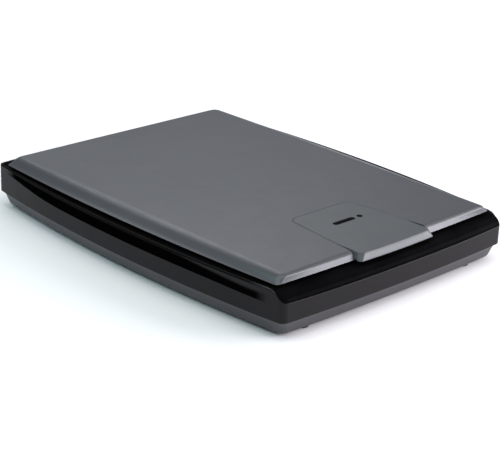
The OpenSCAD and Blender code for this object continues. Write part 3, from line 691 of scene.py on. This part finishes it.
def tab_foot(y):
    """Height of the tab's lower edge, which drops to the lip at the front."""
    under = pan_floor(y) + 0.12
    return under + (TAB_LOW.z - under) * smooth((TAB_LIP_Y - y) / 1.4)


def tab_ring(inset, lift, share=0.0, from_top=None):
    """Ring of the tab: share is 0 at its foot and 1 at its top, where the sides and the front lean in."""
    points = []
    front_r = TAB_FRONT_R + (TAB_TOP_R - TAB_FRONT_R) * share
    for (x, y), (px, py) in zip(tab_plan(-inset, front_r), tab_plan()):
        out = abs(px) > TAB_HX - TAB_FRONT_R - 3 and py < -140
        lean = TAB_LEAN * smooth((TAB_LEAN_Y - py) / 26)
        shift = lean * share * smooth((abs(px) - 33) / 5) if out else 0.0
        z = tab_foot(py) + lift if from_top is None else TAB_HIGH.z - 0.06 - from_top
        back = TAB_SET_BACK * share * smooth((TAB_BACK_Y - py) / 4)
        points.append((x - math.copysign(shift, x), y + back, z))
    return points


def grip_tab(looks):
    """Tab plate. Its skirts deepen towards the front, lean out there and become the grip's lip."""
    rings = [tab_ring(TAB_WALL + 0.3, 0, 0.7, 1.7), tab_ring(TAB_WALL, 0.3), tab_ring(TAB_WALL - 0.3, 0)]
    rings += [tab_ring(0.3, 0), tab_ring(0.06, 0.08), tab_ring(0.0, 0.3)]
    for k in range(1, 6):
        share = k / 5
        side = zip(tab_ring(0.0, 0.3, share * 0.85), tab_ring(0.0, 0, 1, 0.8))
        rings.append([(x, y, z0 + (max(z1, z0) - z0) * share) for (x, y, z0), (_, _, z1) in side])
    for a in quarter(6):
        inset, drop = TAB_EDGE * (1 - math.cos(a)), TAB_EDGE * (1 - math.sin(a))
        rings.append(tab_ring(inset, 0, 0.85 + 0.15 * math.sin(a), drop))
    rings.append(tab_ring(1.6, 0, 1.0, 0.0))
    obj = smooth_faces(solid("grip_tab", skin(rings)), 40)
    return place(obj, looks, "lid", "tab_silver", "lid_tab")


def tab_badge(looks):
    """Plain inlaid mark on the tab: a bar and a dot."""
    z0, z1, y = TAB_HIGH.z - 0.3, TAB_HIGH.z - 0.01, -121.0
    look = moulded("badge_black", (0.003, 0.003, 0.003), 0.5, 0.4, 0.003, Specular_IOR_Level=0.01)

    def inlay(x0, x1, half):
        outer = round_rect(x0, y - half, x1, y + half, half - 0.01, 8)
        inner = round_rect(x0 + 0.12, y - half + 0.12, x1 - 0.12, y + half - 0.12, half - 0.13, 8)
        return skin([level(outer, z0), level(outer, z1 - 0.06), level(inner, z1)])

    obj = smooth_faces(solid("tab_badge", inlay(-14, 10.5, 2.7), inlay(14, 19.4, 2.7)), 30)
    place(obj, looks, "lid", "tab_silver")
    obj.data.materials[0] = look
    return obj


# ---- base shells

def casing_outline(inset=0.0):
    """Plan of the casing, drawn in all round by inset."""
    return bowed(CASING_HX - inset, CASING_HY - inset, SIDE_BOW, END_BOW, CASING_R - inset)


def step_z(y):
    """Height of the casing's top edge: the rails fall in a soft step to the front wall."""
    return FRONT_Z + (RAIL_Z - FRONT_Z) * smooth((y - STEP_FRONT_Y) / (STEP_REAR_Y - STEP_FRONT_Y))


def scoop_low(y):
    """Lower edge of the side scoop, which rises towards the rear."""
    dip, rise = smooth((-90 - y) / 80), smooth((y - 60) / 120) ** 2
    return SCOOP_LOW_Z - SCOOP_DIP * dip + SCOOP_RISE * rise


def scoop_share(y):
    """How deep the scoop is along the side, from 0 at its ends to 1."""
    return max(0.0, 1 - (y / SCOOP_REACH) ** 2)


def scoop_shade(y, v):
    """Painted shade on the side, how black it is: v runs from 0 at the scoop's lower edge to 1 at the
    rail.
    """
    if v <= 0.01:
        return 0.0
    fade = 0.86 - 0.42 * smooth((-60 - y) / 90)
    return (1 - smooth((v - fade) / 0.26)) * smooth(scoop_share(y) / 0.16)


def side_point(x, y, z, top):
    """A point of the casing's outer wall, pushed in where the scoop is."""
    low = scoop_low(y)
    v = (z - low) / (top - low)
    if abs(x) < CASING_HX - CASING_R or v <= 0 or v >= 0.96:
        return (x, y, z)
    depth = SCOOP_DEPTH * scoop_share(y) * smooth(v / 0.1) * (1 - smooth((v - 0.2) / 0.76))
    return (x - math.copysign(depth, x), y, z)


def casing_rings():
    """Rings of the casing from its lower edge up the outside, over the rail and down the inside."""
    outline = casing_outline()
    rings = [level(casing_outline(0.45), SEAM_Z), level(casing_outline(0.12), SEAM_Z + 0.12),
             level(outline, SEAM_Z + 0.5)]
    for k in range(1, 5):
        rings.append([(x, y, SEAM_Z + 0.5 + (scoop_low(y) - SEAM_Z - 0.5) * k / 4) for x, y in outline])
    for v in (0.015, 0.04, 0.07, 0.1, 0.15, 0.2, 0.3, 0.4, 0.5, 0.6, 0.7, 0.8, 0.88, 0.94, 1.0):
        ring = []
        for x, y in outline:
            top, low = step_z(y) - RAIL_ROUND, scoop_low(y)
            ring.append(side_point(x, y, low + (top - low) * v, top))
        rings.append(ring)
    inner = casing_outline(RAIL_ROUND)
    for a in quarter(5)[1:]:
        share, drop = 1 - math.cos(a), RAIL_ROUND * (1 - math.sin(a))
        rings.append([(x + (ix - x) * share, y + (iy - y) * share, step_z(y) - drop)
                      for (x, y), (ix, iy) in zip(outline, inner)])
    lip = casing_outline(RAIL_WALL - 0.25)
    rebate = casing_outline(RAIL_WALL)
    rings.append([(x, y, step_z(oy)) for (x, y), (_, oy) in zip(lip, outline)])
    rings.append([(x, y, step_z(oy) - 0.25) for (x, y), (_, oy) in zip(rebate, outline)])
    ledge = [min(BEZEL_UNDER_Z, step_z(oy) - 0.6) for _, oy in outline]
    half = (CASING_HX - CORNER_WALL, CASING_HY - CORNER_WALL)
    wall = bowed(*half, INNER_BOW, END_BOW, CASING_R - CORNER_WALL)
    rings.append([(x, y, z) for (x, y), z in zip(rebate, ledge)])
    rings.append([(x, y, z - 0.05) for (x, y), z in zip(wall, ledge)])
    rings.append(level(wall, SEAM_Z))
    return rings


def paint_scoop_shade(obj):
    """Stores the painted shade for the lacquer: how black each point of the casing is, in the scoops and
    on the rail tops.
    """
    painted_shade = obj.data.attributes.new("painted_shade", "FLOAT", "POINT")
    outer = CASING_HX - CASING_R
    for vert, value in zip(obj.data.vertices, painted_shade.data):
        x, y, z = vert.co / MM
        top = step_z(y) - RAIL_ROUND
        outside = abs(x) > outer and abs(y) < CASING_HY and z < top + RAIL_ROUND + 0.01
        side = CASING_HIGH.x - SIDE_BOW * (y / (CASING_HY - CASING_R)) ** 2
        away = abs(x) - (side - SCOOP_DEPTH - 0.05)
        low = scoop_low(y)
        # Painted shade on the rail's top under the lid's edge, fading out at the front corner.
        mark = scoop_shade(y, (z - low) / (top - low)) if z < top else 0.85 * smooth((y + 165) / 20)
        value.value = mark if outside and away > 0 else 0.0
    return obj


def socket_tunnel():
    """Opening for the socket through the rear wall, with a flared mouth."""
    rings = []
    for y, gap in ((170, 0.35), (CASING_HIGH.y - 1.2, 0.35), (CASING_HIGH.y + 0.3, 1.15)):
        x0, z0, x1, z1 = SOCKET_LOW.x - gap, SOCKET_LOW.z - gap, SOCKET_HIGH.x + gap, SOCKET_HIGH.z + gap
        rings.append([(x0, y, z0), (x1, y, z0), (x1, y, z1), (x0, y, z1)])
    return skin(rings)


def casing_shell(looks):
    """Charcoal casing ring with its scooped sides, screw posts and the opening for the socket."""
    obj = solid("casing_shell", skin(casing_rings(), loop=True))
    for sx, sy in CORNERS:
        x, y = sx * POST_X, sy * POST_Y
        post = prism(circle(x, y, 3.2), SEAM_Z + 0.05, BEZEL_UNDER_Z)
        web = box((sx * 130 - 4.2, y - 1, SEAM_Z + 0.05), (sx * 130 + 4.2, y + 1, 30))
        combine(obj, "UNION", post, web)
        combine(obj, "DIFFERENCE", prism(circle(x, y, 1.2), SEAM_Z - 1, SEAM_Z + 10))
    combine(obj, "DIFFERENCE", socket_tunnel())
    tidy_mesh(obj)
    paint_scoop_shade(obj)
    smooth_faces(obj, 30)
    return place(obj, looks, "base", "casing_charcoal", "side_casing")


def nose_rings(inset, rise, depth, start):
    """The nose follows the casing's plan back along a quarter ellipse."""
    outline = casing_outline(inset)
    rings = [level(outline, start)]
    for a in quarter(28):
        back, z = depth * (1 - math.cos(a)), FRONT_Z + rise * math.sin(a)
        rings.append([(x, y + back, z) for x, y in outline])
    return rings


def step_profile(grow=0.0):
    """Side view of everything over the casing's stepped edge."""
    steps = 28
    span = STEP_REAR_Y - STEP_FRONT_Y
    places = [STEP_FRONT_Y + span * k / steps for k in range(steps + 1)]
    line = [(y, step_z(y) + grow) for y in places]
    return [(-200, FRONT_Z + grow)] + line + [(STEP_REAR_Y, CLEAR_Z), (-200, CLEAR_Z)]


def bezel_plate():
    """Plate inside the rails with a rounded rim."""
    inset = RAIL_WALL + 0.22
    rings = [level(casing_outline(inset), BEZEL_UNDER_Z)]
    rim = 0.6
    for a in quarter(4):
        outline = casing_outline(inset + rim * (1 - math.cos(a)))
        rings.append(level(outline, BEZEL_Z - rim * (1 - math.sin(a))))
    return skin(rings)


def window_cut():
    """Cutter for the window, with sloped upper edges."""
    slope = 1.0

    def plan(grow):
        x, r = WINDOW_HX + grow, 1.5 + grow
        return round_rect(-x, WINDOW_FRONT_Y - grow, x, WINDOW_REAR_Y + grow, r, 6)

    rings = [level(plan(0), 30), level(plan(0), BEZEL_Z - slope * 0.7)]
    return skin(rings + [level(plan(slope), BEZEL_Z + 0.01), level(plan(slope), CLEAR_Z)])


def bezel_shell(looks):
    """Piano-black bezel: the bed's frame and the rounded front nose, in one moulding."""
    plate = clipped(bezel_plate(), box((-150, -169.5, 0), (150, 200, CLEAR_Z)))
    obj = solid("bezel_shell", skin(nose_rings(0.02, BEZEL_Z - FRONT_Z, NOSE_DEPTH, FRONT_Z - 3)))
    front = box((-160, -200, 0), (160, -169, CLEAR_Z))
    combine(obj, "INTERSECT", along_x(step_profile(0.04), -160, 160), front)
    inner = nose_rings(NOSE_WALL, BEZEL_UNDER_Z - FRONT_Z - 0.6, NOSE_DEPTH - NOSE_WALL, FRONT_Z - 4)
    combine(obj, "DIFFERENCE", clipped(skin(inner), box((-160, -200, 0), (160, -172, 60))))
    combine(obj, "UNION", plate)
    seat = box((GLASS_LOW.x, GLASS_LOW.y, 0), (GLASS_HIGH.x, GLASS_HIGH.y, GLASS_HIGH.z + 0.3))
    cuts = [window_cut(), seat]
    front, rear, ramp = VALLEY_FRONT_Y, VALLEY_REAR_Y, 1.2
    valley = [(front, BEZEL_Z + 0.05), (front + ramp, VALLEY_Z), (rear - ramp, VALLEY_Z),
              (rear, BEZEL_Z + 0.05), (rear, CLEAR_Z), (front, CLEAR_Z)]
    cuts.append(along_x(valley, -VALLEY_HX, VALLEY_HX))
    leg_x, leg_y = LEG_HALF
    for x in (-HINGE_X, HINGE_X):
        cuts.append(box((x - leg_x, PIVOT_Y - leg_y, 0), (x + leg_x, PIVOT_Y + leg_y, CLEAR_Z)))
    combine(obj, "DIFFERENCE", *cuts)
    tidy_mesh(obj)
    smooth_faces(obj, 28)
    return place(obj, looks, "base", "bezel_black", "platen_bezel")


def tray_outline(t, inset=0.0):
    """The tray's outer face, from 0 at its underside to 1 at the seam."""
    return bowed(TRAY_HX + TRAY_LEAN_X * t - inset, TRAY_HY + TRAY_LEAN_Y * t - inset,
                 TRAY_BOW + 0.4 * t, TRAY_END_BOW + 0.8 * t, max(1.0, 7 - t - inset / 2))


def tray_rings():
    """Inner floor, inner wall, seam edge, outer wall with a soft bead, rounded underside."""
    low, high = TRAY_LOW.z, TRAY_HIGH.z
    floor_z = low + TRAY_WALL
    rings = [level(tray_outline(0.08, TRAY_WALL + 2.0), floor_z),
             level(tray_outline(0.1, TRAY_WALL + 0.6), floor_z + 0.5),
             level(tray_outline(0.2, TRAY_WALL), floor_z + 1.8),
             level(tray_outline(1, TRAY_WALL), high - 0.4),
             level(tray_outline(1, TRAY_WALL - 0.3), high),
             level(tray_outline(1, 0.5), high)]
    bead = ((0.985, 0.12), (0.95, 0.0), (0.9, 0.0), (0.84, 0.1), (0.76, 0.28), (0.6, 0.22), (0.4, 0.1))
    for t, inset in bead:
        rings.append(level(tray_outline(t, inset), low + (high - low) * t))
    reach = TRAY_ROUND
    for a in quarter(8):
        up, inset = reach * (1 - math.sin(a)), reach * (1 - math.cos(a)) * 0.8 + 0.05
        rings.append(level(tray_outline(up / (high - low), inset), low + up))
    rings.append(level(tray_outline(0, reach * 0.8 + 2.5), low))
    return rings


def tray_bosses():
    """Posts, standoffs and ribs that stand on the tray's floor."""
    low, floor_z = TRAY_LOW.z, TRAY_LOW.z + TRAY_WALL
    shapes = [prism(circle(sx * POST_X, sy * POST_Y, 4.2), low, TRAY_HIGH.z - 0.02) for sx, sy in CORNERS]
    shapes += [prism(circle(x, y, 2.4), low + 0.1, 15) for x, y in BOARD_SCREWS]
    shapes.append(prism(circle((BELT_LOW.x + BELT_HIGH.x) / 2, -134, 1.5), low + 0.1, floor_z + 3.9))
    shapes.append(box((93, 158.5, low + 0.1), (99, 163.5, 9)))
    for y in range(-120, 121, 40):
        rib = [(y, low + 0.1), (y + 1.2, low + 0.1), (y + 1.05, floor_z + 1.2), (y + 0.15, floor_z + 1.2)]
        shapes.append(along_x(rib, -104, -10))
    return shapes


def tray_shell(looks):
    """Bottom tray: bosses inside, screw recesses, foot seats and a plain label recess underneath."""
    obj = solid("tray_shell", skin(tray_rings()))
    core = skin([level(tray_outline(0, 3.2), TRAY_LOW.z), level(tray_outline(1, 0.6), TRAY_HIGH.z)])
    for shape in tray_bosses():
        combine(obj, "UNION", clipped(shape, core))
    cuts = []
    for sx, sy in CORNERS:
        x, y = sx * POST_X, sy * POST_Y
        cuts.append(prism(circle(x, y, 2.9), 0, TRAY_LOW.z + 2.6))
        cuts.append(prism(circle(x, y, 1.5), 0, TRAY_HIGH.z + 1))
        cuts.append(prism(circle(sx * FOOT_X, sy * FOOT_Y, 5.2, 40), 0, TRAY_LOW.z + 0.6))
    cuts += [prism(circle(x, y, 1.0, 20), TRAY_LOW.z + 4, 20) for x, y in BOARD_SCREWS]
    cuts.append(prism(round_rect(-45, 40, 45, 95, 3), 0, TRAY_LOW.z + 0.4))
    for k in range(9):
        x = -60 + 15 * k
        cuts.append(prism(round_rect(x - 1, -135, x + 1, -105, 0.95), 0, TRAY_LOW.z + 0.8))
    combine(obj, "DIFFERENCE", *cuts)
    tidy_mesh(obj)
    smooth_faces(obj, 30)
    return place(obj, looks, "base", "tray_grey", "bottom_tray")


def rubber_foot(looks, x, y):
    """Turned rubber foot with a rounded sole and a sunk middle."""
    rings = []
    for r, z in ((1.0, 0.35), (2.4, 0.3), (2.9, 0.05), (3.2, 0.0), (4.2, 0.0), (4.55, 0.08), (4.75, 0.3),
                 (4.95, 0.7), (5.1, 1.2), (5.15, TRAY_LOW.z + 0.59)):
        rings.append(level(circle(x, y, r, 40), z))
    name = f"foot_{'left' if x < 0 else 'right'}_{'front' if y < 0 else 'rear'}"
    obj = smooth_faces(solid(name, skin(rings)), 40)
    return place(obj, looks, "base", "rubber_dark", "rubber_feet")


# ---- under the lid

def pad_rings(low, high, r, bulge, steps=26):
    """A flat pad with soft edges: the rings run up its side, and the faces dip a little near the rim."""
    cz, half = (low.z + high.z) / 2, (high.z - low.z) / 2

    def ring(inset, z):
        x0, y0, x1, y1 = low.x + inset, low.y + inset, high.x - inset, high.y - inset
        return level(round_rect(x0, y0, x1, y1, max(0.5, r - inset), 6, steps), z)

    rings = [ring(9, cz - half)]
    rings += [ring(5, cz - half), ring(2.2, cz - half + 0.03)]
    for k in range(1, 12):
        a = math.radians(-90 + 180 * k / 12)
        rings.append(ring(bulge * (1 - math.cos(a)), cz + half * math.sin(a)))
    rings += [ring(2.2, cz + half - 0.03), ring(5, cz + half), ring(9, cz + half)]
    return rings


def foam_pad(looks):
    """Foam sheet behind the white mat: it presses the page flat."""
    obj = smooth_faces(solid("foam_pad_soft", skin(pad_rings(FOAM_LOW, FOAM_HIGH, 4.0, 1.2))), 60)
    place(obj, looks, "lid", "foam_grey", "foam_pad")
    return obj


def mat_film(looks):
    """White backing film bonded to the foam, with round corners and a welded edge."""
    low, high = MAT_LOW, MAT_HIGH
    top = high.z - 0.02

    def ring(inset, z):
        x0, y0, x1, y1 = low.x + inset, low.y + inset, high.x - inset, high.y - inset
        return level(round_rect(x0, y0, x1, y1, 5 - inset / 2, 8, 20), z)

    rings = [ring(6, top), ring(0.3, top), ring(0.05, top - 0.1), ring(0.0, low.z + 0.22)]
    rings += [ring(0.1, low.z + 0.08), ring(0.35, low.z), ring(1.7, low.z), ring(2.0, low.z + 0.07)]
    rings += [ring(2.6, low.z + 0.07), ring(2.9, low.z), ring(6, low.z)]
    obj = smooth_faces(solid("mat_film", skin(rings)), 50)
    return place(obj, looks, "lid", "mat_white", "white_mat")


# ---- works inside

def ribbon_run(looks):
    """The ribbon's moving run: a flat cable that rides up from the floor to the sensor."""
    low, high = node_box("ribbon_moving")
    thick, rise_y, rise = 0.26, 128, 11
    base_z, top_z = low.z + 0.12, high.z - 0.3
    line = [(low.y + 0.1, low.z + 0.02)]
    line += [(low.y + (rise_y - low.y) * k / 40, low.z + 0.02 + 0.1 * k / 40) for k in range(1, 41)]
    line += [(rise_y + rise * k / 12, base_z + (top_z - base_z) * smooth(k / 12)) for k in range(1, 13)]
    line += [(rise_y + rise + 12 * k / 4, top_z) for k in range(1, 5)]
    section = [(low.x, 0.05), (low.x + 0.1, 0), (high.x - 0.1, 0), (high.x, 0.05)]
    section += [(x, thick - up) for x, up in reversed(section)]
    rings = [[(x, y, z + up) for x, up in section] for y, z in line]
    obj = solid("ribbon_run", skin(rings))
    smooth_faces(obj, 40)
    bake_modifiers(obj)
    obj.data.materials.clear()
    obj.data.materials.append(looks["ribbon_white"])
    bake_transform(obj)
    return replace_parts(obj, "ribbon_moving")


def toothed_belt(looks):
    """Closed belt round both pulleys with moulded teeth on its inner face."""
    cz = (BELT_LOW.z + BELT_HIGH.z) / 2
    outer_r = (BELT_HIGH.z - BELT_LOW.z) / 2
    inner_r = outer_r - 0.95
    front, rear = BELT_LOW.y + outer_r, BELT_HIGH.y - outer_r
    straight, turn = rear - front, math.pi * inner_r
    total = 2 * (straight + turn)
    teeth = int(total / 1.5)

    def at(s, r):
        """Point on the loop at distance s along its inner face, r out from the pulley's axle."""
        if s < straight:
            return front + s, cz + r
        s -= straight
        if s < turn:
            a = math.pi / 2 - s / inner_r
            return rear + r * math.cos(a), cz + r * math.sin(a)
        s -= turn
        if s < straight:
            return rear - s, cz - r
        a = -math.pi / 2 - (s - straight) / inner_r
        return front + r * math.cos(a), cz + r * math.sin(a)

    rings = []
    for k in range(teeth):
        for share, depth in ((0.0, 0.0), (0.22, 0.45), (0.5, 0.45), (0.72, 0.0)):
            s = (k + share) * total / teeth
            y0, z0 = at(s, inner_r + 0.45 - depth)
            y1, z1 = at(s, outer_r)
            left, right = BELT_LOW.x, BELT_HIGH.x
            rings.append([(left, y0, z0), (left, y1, z1), (right, y1, z1), (right, y0, z0)])
    obj = smooth_faces(solid("toothed_belt", skin(rings, loop=True)), 25)
    return place(obj, looks, "base", "belt_rubber", "drive_belt")


def socket_tongue(looks):
    """The socket's plastic insert with its contacts, inside the metal shell."""
    x = (SOCKET_LOW.x + SOCKET_HIGH.x) / 2
    z = (SOCKET_LOW.z + SOCKET_HIGH.z) / 2
    rear = SOCKET_HIGH.y - 1.6
    rings = []
    for half, reach, up in ((2.9, 0.0, -1.7), (3.1, 0.2, -1.5), (3.1, 0.2, 1.5), (2.9, 0.0, 1.7)):
        rings.append(level(round_rect(x - half, rear - 9, x + half, rear + reach, 0.3, 4), z + up))
    obj = smooth_faces(solid("socket_tongue", skin(rings)), 40)
    place(obj, looks, "base", "socket_shell")
    obj.data.materials[0] = looks["chip_black"]
    return obj


# Nodes whose edges are too fine for a round, and nodes that don't take their slot's look
FINE_NODES = ("lift_springs", "tension_spring", "drive_gear", "motor_pinion")
NODE_ROUND = 0.12
OWN_LOOKS = {"lid_bumpers": "bumper_black"}


def finish_nodes(looks):
    """Materials for the CAD nodes that stay, and small rounds on the edges of the moulded ones."""
    for part in frame["record"]["subparts"]:
        node = frame["nodes"][part["node"]]
        node.data.materials.clear()
        node.data.materials.append(looks[OWN_LOOKS.get(part["node"], part["material_slot"])])
        if node.hide_render:
            continue
        for poly in node.data.polygons:
            poly.use_smooth = True
        weld = node.modifiers.new("weld", "WELD")
        weld.merge_threshold = 0.0005 * MM
        if part["node"] not in FINE_NODES:
            flat = node.modifiers.new("flats", "DECIMATE")
            flat.decimate_type = "DISSOLVE"
            flat.angle_limit = math.radians(1.0)
            soften(node, NODE_ROUND, 40)
        shade = node.modifiers.new("normals", "WEIGHTED_NORMAL")
        shade.keep_sharp = True


# ---- stage

# Camera: place in metres, then yaw, pitch and roll in degrees
CAMERA_PLACE, CAMERA_TURN, CAMERA_LENS = (-0.869, -0.910, 0.507), (-43.99, -21.71, 2.14), 111.7


def view_axes(yaw, pitch, roll):
    """Right, up and forward of a camera turned by three angles in degrees."""
    a, b, c = (math.radians(v) for v in (yaw, pitch, roll))
    ahead = Vector((-math.sin(a) * math.cos(b), math.cos(a) * math.cos(b), math.sin(b)))
    side = Vector((math.cos(a), math.sin(a), 0))
    top = side.cross(ahead)
    return side * math.cos(c) + top * math.sin(c), top * math.cos(c) - side * math.sin(c), ahead


def photo_camera():
    """The camera solved from the edges of the body in the photo."""
    data = bpy.data.cameras.new("camera")
    data.sensor_width = 36
    data.lens = CAMERA_LENS
    data.clip_end = 20
    right, up, ahead = view_axes(*CAMERA_TURN)
    obj = bpy.data.objects.new("camera", data)
    turn = Matrix((right, up, -ahead)).transposed().to_4x4()
    obj.matrix_world = Matrix.Translation(CAMERA_PLACE) @ turn
    bpy.context.scene.collection.objects.link(obj)
    bpy.context.scene.camera = obj


def softbox(name, toward, distance, width, height, power, tint):
    """Area lamp out along a direction from the object's middle, facing it."""
    data = bpy.data.lights.new(name, "AREA")
    data.shape = "RECTANGLE"
    data.size, data.size_y = width, height
    data.energy = power
    data.color = tint
    aim = Vector((0, 0, 0.04))
    ray = Vector(toward).normalized()
    obj = bpy.data.objects.new(name, data)
    turn = ray.to_track_quat("Z", "Y").to_matrix().to_4x4()
    obj.matrix_world = Matrix.Translation(aim + ray * distance) @ turn
    bpy.context.scene.collection.objects.link(obj)
    return obj


def studio():
    """White floor, dim surroundings and soft lamps."""
    floor = solid("floor", prism(round_rect(-4000, -4000, 4000, 4000, 500, 8), -10, -0.02))
    look = Look("floor_paper", (0.93, 0.93, 0.93), 0.9, Specular_IOR_Level=0.0)
    look.paint(look.mottle(0.003, 300))
    floor.data.materials.append(look.relief((look.noise(3, 2), 0.002)).mat)
    world = bpy.data.worlds.new("studio")
    world.use_nodes = True
    sky = world.node_tree.nodes["Background"]
    sky.inputs["Color"].default_value = (0.92, 0.95, 1.0, 1)
    sky.inputs["Strength"].default_value = 0.34
    bpy.context.scene.world = world
    bpy.context.scene.view_settings.view_transform = "Standard"
    softbox("front_key", (0.68, -0.69, 0.29), 1.6, 1.5, 0.7, 31, (0.985, 0.94, 1.0))
    softbox("right_soft", (0.75, -0.14, 0.64), 1.7, 0.8, 0.7, 3.6, (0.97, 0.95, 1.0))
    softbox("left_fill", (-0.7, 0.3, 0.75), 1.8, 1.2, 0.8, 6, (0.55, 0.93, 1.0))
    softbox("rear_strip", (0.48, 0.68, 0.62), 1.8, 0.9, 0.35, 3.6, (0.97, 0.98, 1.0))
    softbox("overhead", (-0.15, -0.1, 1.0), 2.2, 2.4, 2.4, 32, (1.0, 1.0, 1.0))


# ---- build

looks = make_looks()
lid_shell(looks)
grip_tab(looks)
tab_badge(looks)
foam_pad(looks)
mat_film(looks)
casing_shell(looks)
bezel_shell(looks)
tray_shell(looks)
for sx, sy in CORNERS:
    rubber_foot(looks, sx * FOOT_X, sy * FOOT_Y)
ribbon_run(looks)
toothed_belt(looks)
socket_tongue(looks)
finish_nodes(looks)
studio()
photo_camera()
